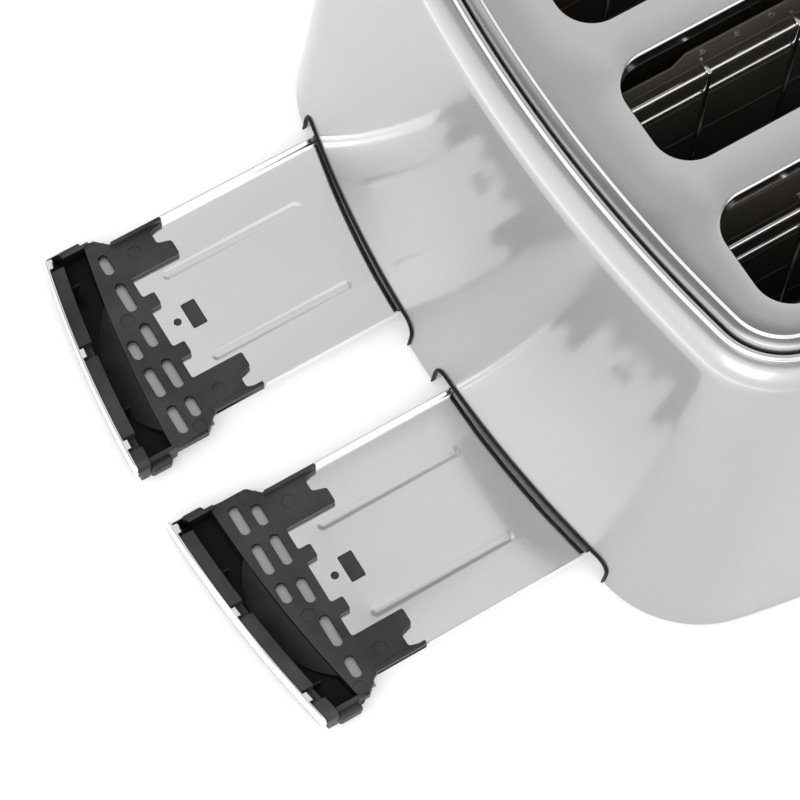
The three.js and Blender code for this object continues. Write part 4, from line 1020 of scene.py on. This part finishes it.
def keys_and_grip(side, sign):
    drop = wall_y(0, window_middle) - wall_y(dial["x"], window_middle)
    for name, z in zip(("cancel", "reheat", "defrost"), key["rows"]):
        cap = soft_pad(f"{name}_key_{side}", (sign * dial["x"], z, key["half_width"], key["half_height"]),
                       key["half_height"] * round_share, key["fillet"],
                       (key["foot"], panel_proud - drop + key["proud"]), on_panel)
        place(cap, f"{name}_{side}", dial_metal, "control_metal", [f"{name}_button_{side}"], 60)
    low, high = [corner / mm - body_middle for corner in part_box(f"lever_knob_{side}")]
    middle = [(a + b) / 2 for a, b in zip(low, high)]
    half = [(b - a) / 2 for a, b in zip(low, high)]
    knob = soft_pad(f"lever_grip_{side}", (middle[0], middle[2], half[0], half[2]), half[2] * grip["round"],
                    grip["fillet"], (-high[1], -low[1]), lambda u, v, out: (u, -out, v))
    place(knob, f"lift_{side}", gloss_plastic, "gloss_black", [f"lever_knob_{side}"], 60)


def browning_dial(side, sign):
    middle = sign * dial["x"]
    turns = dial["ribs"] * 4
    rings = []
    for radius, out, ribbed in dial_profile:
        ring = []
        for i in range(turns):
            turn = 2 * math.pi * i / turns
            far = radius - ribbed * dial["rib_depth"] * (1 - math.cos(dial["ribs"] * turn)) / 2
            ring.append(on_panel(middle + far * math.sin(turn), dial["z"] + far * math.cos(turn), out))
        rings.append(ring)
    knob = capped(f"dial_ribbed_{side}", rings)
    place(knob, f"dial_{side}", dial_metal, "control_metal", [f"browning_dial_{side}"], 50)
    border = rounded_rectangle(-dial["mark_half"], dial["mark_half"], *dial["mark"],
                               dial["mark_corner"], 5)
    cap = dial_profile[-1][1]
    mark = prism_between(f"dial_mark_{side}", border, cap - dial["print_depth"], cap + dial["mark_proud"],
                         lambda u, v, out: on_panel(middle + u, dial["z"] + v, out))
    place(mark, f"dial_{side}", gloss_plastic, "gloss_black")
    dots = []
    for i in range(dial["dots"]):
        turn = math.radians(-dial["sweep"] / 2 + dial["sweep"] * i / (dial["dots"] - 1))
        x = middle + dial["dot_ring"] * math.sin(turn)
        across = dial["z"] + dial["dot_ring"] * math.cos(turn)
        face = panel_proud - wall_y(0, window_middle) + wall_y(x, window_middle)
        size = dial["dot_size"][0] + dial["dot_size"][1] * i / (dial["dots"] - 1)
        dots.append(prism_between("dot", circle(size, 20), face - dial["print_depth"],
                                  face + dial["dot_proud"],
                                  lambda u, v, out: on_panel(x + u, across + v, out)))
    place(join_pieces(f"dial_dots_{side}", dots), "housing", dot_print, "control_metal")


# Repeats made with geometry nodes: copies of a small template along a line
def line_tree():
    tree = bpy.data.node_groups.new("copies_on_line", "GeometryNodeTree")
    for title, kind in (("Count", "Int"), ("Start", "Vector"), ("Step", "Vector"),
                        ("Piece", "Object"), ("Finish", "Material")):
        tree.interface.new_socket(title, in_out="INPUT", socket_type=f"NodeSocket{kind}")
    tree.interface.new_socket("Geometry", in_out="OUTPUT", socket_type="NodeSocketGeometry")
    start, end, line, info, points, real, finish = [tree.nodes.new(kind) for kind in (
        "NodeGroupInput", "NodeGroupOutput", "GeometryNodeMeshLine", "GeometryNodeObjectInfo",
        "GeometryNodeInstanceOnPoints", "GeometryNodeRealizeInstances", "GeometryNodeSetMaterial")]
    link_all(tree, (start, "Count", line, "Count"), (start, "Start", line, "Start Location"),
             (start, "Step", line, "Offset"), (start, "Piece", info, "Object"),
             (line, "Mesh", points, "Points"), (info, "Geometry", points, "Instance"),
             (points, "Instances", real, "Geometry"), (real, "Geometry", finish, "Geometry"),
             (start, "Finish", finish, "Material"), (finish, "Geometry", end, "Geometry"))
    return tree


copies_on_line = line_tree()


def copies(name, template, material, count, start, step):
    """Plain mesh of a template repeated along a line, start and step in millimetres"""
    carrier = new_object(name, bpy.data.meshes.new(name))
    change = carrier.modifiers.new("copies", "NODES")
    change.node_group = copies_on_line
    values = {"Count": count, "Start": (Vector(start) + body_middle) * mm, "Step": Vector(step) * mm,
              "Piece": template, "Finish": material}
    for item in copies_on_line.interface.items_tree:
        if item.in_out == "INPUT":
            change[item.identifier] = values[item.name]
    return apply_modifiers(carrier)


def join_pieces(name, pieces):
    """Several meshes as one object"""
    work = bmesh.new()
    for piece in pieces:
        work.from_mesh(piece.data)
        bpy.data.objects.remove(piece)
    return work_object(name, work)


def round_bar(name, x, z, end, radius):
    """Wire along Y, with rounded ends"""
    tip, straight = radius * guide_tip["share"], end - guide_tip["length"]
    profile = ((-end, tip), (-straight, radius), (straight, radius), (end, tip))
    return capped(name, [[(u, y, v) for u, v in circle(r, 14, x, z)] for y, r in profile])


# Wire grilles: round rails, and posts hooked over the top rail
def hooked_post(side_of_slot):
    """Post in the middle of the grille, as a template about the rail's line"""
    half = guide_post / 2
    face = guide_overlap - guide_wire
    head = guide_rails[0] + guide_wire + seat_gap
    low = guide_rails[-1] - guide_wire
    profile = [(face - guide_post, low), (face, low), (face, head), (guide_tail, head),
               (guide_tail, head + guide_post), (face - guide_post, head + guide_post)]
    rings = [[(side_of_slot * u, v, z) for u, z in profile] for v in (-half, half)]
    return round_edges(capped("post_template", rings, Vector()), edge_radius["post"])


def bread_guides(side, sign, near):
    """Both grilles of one bank that move together"""
    way = "near" if near else "far"
    side_of_slot = -sign if near else sign
    rails, posts, nodes = [], [], []
    template = hooked_post(side_of_slot)
    for place_name, middle in (("inner", 0.5), ("outer", 1.5)):
        x = sign * middle * slot_pitch + side_of_slot * guide_offset
        ends = (guide_long, guide_short, guide_long)
        rails += [round_bar("rail", x, z, end, guide_wire) for z, end in zip(guide_rails, ends)]
        posts.append(copies("posts", template, nickel_wire, guide_posts, (x, -guide_pitch, 0),
                            (0, guide_pitch, 0)))
        nodes.append(f"guide_{place_name}_slot_{way}_{side}")
    bpy.data.objects.remove(template)
    grille = join_pieces(f"grille_{way}_{side}", rails + posts)
    place(grille, f"guides_{way}_{side}", nickel_wire, "nickel_wire", nodes, 40)


# Heater cards: the solids with rounded edges, and rivets along the top
def heater_card(name, side, x, faces_used):
    node = f"heater_card_{name}_{side}"
    work = bmesh.new()
    work.from_mesh(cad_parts[node].data)
    bmesh.ops.remove_doubles(work, verts=work.verts, dist=merge_distance)
    bmesh.ops.dissolve_limit(work, angle_limit=math.radians(0.5), verts=work.verts, edges=work.edges)
    card = round_edges(work_object(f"mica_card_{name}_{side}", work), edge_radius["card"], 1, 28)
    place(card, "housing", aged_shaded_mica, "mica", [node])
    rings = [[(out, u, v) for u, v in circle(r, 12)] for r, out in rivet_profile]
    template = capped("rivet_template", rings, Vector())
    rows = []
    for direction in faces_used:
        start = (x + direction * card_rivets["out"], card_rivets["start"], card_rivets["z"])
        rows.append(copies("rivets", template, nickel_wire, card_rivets["count"], start,
                           (0, card_rivets["pitch"], 0)))
    bpy.data.objects.remove(template)
    rivets = join_pieces(f"card_rivets_{name}_{side}", rows)
    place(rivets, "housing", nickel_wire, "nickel_wire")


# Floor, light and camera
def studio():
    floor = new_object("floor", bpy.data.meshes.new("floor"))
    corners = [(-1, -1), (1, -1), (1, 1), (-1, 1)]
    floor.data.from_pydata([(u * floor_reach, v * floor_reach, 0) for u, v in corners], [], [(0, 1, 2, 3)])
    paper = bpy.data.materials.new("white_paper")
    paper.use_nodes = True
    tree = paper.node_tree
    shader = tree.nodes["Principled BSDF"]
    set_inputs(shader, {"Base Color": paper_white, "Roughness": 1, "Specular IOR Level": 0,
                        "Emission Color": (1, 1, 1, 1)})
    spot = tree.nodes.new("ShaderNodeTexCoord")
    split = tree.nodes.new("ShaderNodeSeparateXYZ")
    glow = add_node(tree, "ShaderNodeMapRange", paper_glow, interpolation_type="SMOOTHSTEP")
    link_all(tree, (spot, "Object", split, 0), (split, "Y", glow, "Value"),
             (glow, 0, shader, "Emission Strength"))
    floor.data.materials.append(paper)
    floor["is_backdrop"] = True
    bpy.context.scene.world = tent()
    soft_lamp()
    bpy.context.scene.view_settings.view_transform = "Standard"


def tent():
    """White light tent: bright over the trays, with a darker seam above, and a little more light low down"""
    sky = bpy.data.worlds.new("tent")
    sky.use_nodes = True
    tree = sky.node_tree
    back = tree.nodes["Background"]
    back.inputs["Color"].default_value = (1, 1, 1, 1)
    spot = tree.nodes.new("ShaderNodeTexCoord")
    across = add_node(tree, "ShaderNodeVectorMath", {1: Vector((1, -1, 0)).normalized()},
                      operation="DOT_PRODUCT")
    place_in = add_node(tree, "ShaderNodeMapRange", {"From Min": -1})
    cloth = tree.nodes.new("ShaderNodeValToRGB")
    steps = cloth.color_ramp.elements
    for i, (side, light) in enumerate(tent_light):
        step = steps[i] if i < 2 else steps.new((side + 1) / 2)
        step.color = (light / tent_power, light / tent_power, light / tent_power, 1)
    split = tree.nodes.new("ShaderNodeSeparateXYZ")
    dim = add_node(tree, "ShaderNodeMapRange", tent_dim, interpolation_type="SMOOTHSTEP")
    link_all(tree, (spot, "Generated", across, 0), (across, "Value", place_in, "Value"),
             (place_in, 0, cloth, "Fac"), (spot, "Generated", split, 0), (split, "Z", dim, "Value"))
    strength = math_node(tree, "MULTIPLY", cloth.outputs["Color"], dim.outputs[0])
    tree.links.new(strength, back.inputs["Strength"])
    return sky


def aimed(thing, spot, aim):
    thing.location = spot
    thing.rotation_euler = (Vector(aim) - Vector(spot)).to_track_quat("-Z", "Y").to_euler()
    bpy.context.scene.collection.objects.link(thing)
    return thing


def soft_lamp():
    light = bpy.data.lights.new("key", "AREA")
    light.size = lamp["size"]
    light.energy = lamp["power"]
    aimed(bpy.data.objects.new("key", light), lamp["spot"], lamp["aim"])


def photo_camera():
    lens = bpy.data.cameras.new("camera")
    lens.sensor_width = sensor_width
    lens.lens = sensor_width * focal_length / photo_width
    lens.clip_end = 20
    camera = bpy.data.objects.new("camera", lens)
    bpy.context.scene.camera = aimed(camera, Vector(camera_spot) * mm, Vector(camera_aim) * mm)


# Everything in its place
photo_camera()
studio()
outer_shell()
trim_ring()
top_panel()
place_mouldings()
for side, sign in sides.items():
    crumb_tray(side, sign)
    tray_lip(side, sign)
    tray_face(side, sign)
    opening_liner(side, sign)
    bread_guides(side, sign, True)
    bread_guides(side, sign, False)
    for name, x, faces_used in (("inner", card_edge, [1]), ("middle", slot_pitch, [-1, 1]),
                                ("outer", 2 * slot_pitch - card_edge, [-1])):
        heater_card(name, side, sign * x, [sign * d for d in faces_used])
    browning_dial(side, sign)
    keys_and_grip(side, sign)
control_panel()

node_finish = {
    "base_moulding": charcoal_plastic, "cord_gland": foot_rubber,
    "chassis_plate_front": aged_shaded_zinc, "chassis_plate_rear": aged_shaded_zinc,
    "foot_front": foot_rubber, "foot_rear": foot_rubber, "heat_shield": aged_shaded_zinc,
    "bread_rack_inner": aged_shaded_zinc, "bread_rack_outer": aged_shaded_zinc, "carriage": aged_shaded_zinc,
    "guide_rod": nickel_wire, "return_spring": nickel_wire,
    "latch_magnet": coil_copper, "circuit_board": board_green,
}
for node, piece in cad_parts.items():
    finish = node_finish.get(node) or node_finish.get(node.rsplit("_", 1)[0])
    if finish and not piece.hide_render:
        piece.data.materials.clear()
        piece.data.materials.append(finish)

sizes = {"cad": cad_box, "visual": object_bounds()}
{key: [list(corner) for corner in box] for key, box in sizes.items()}
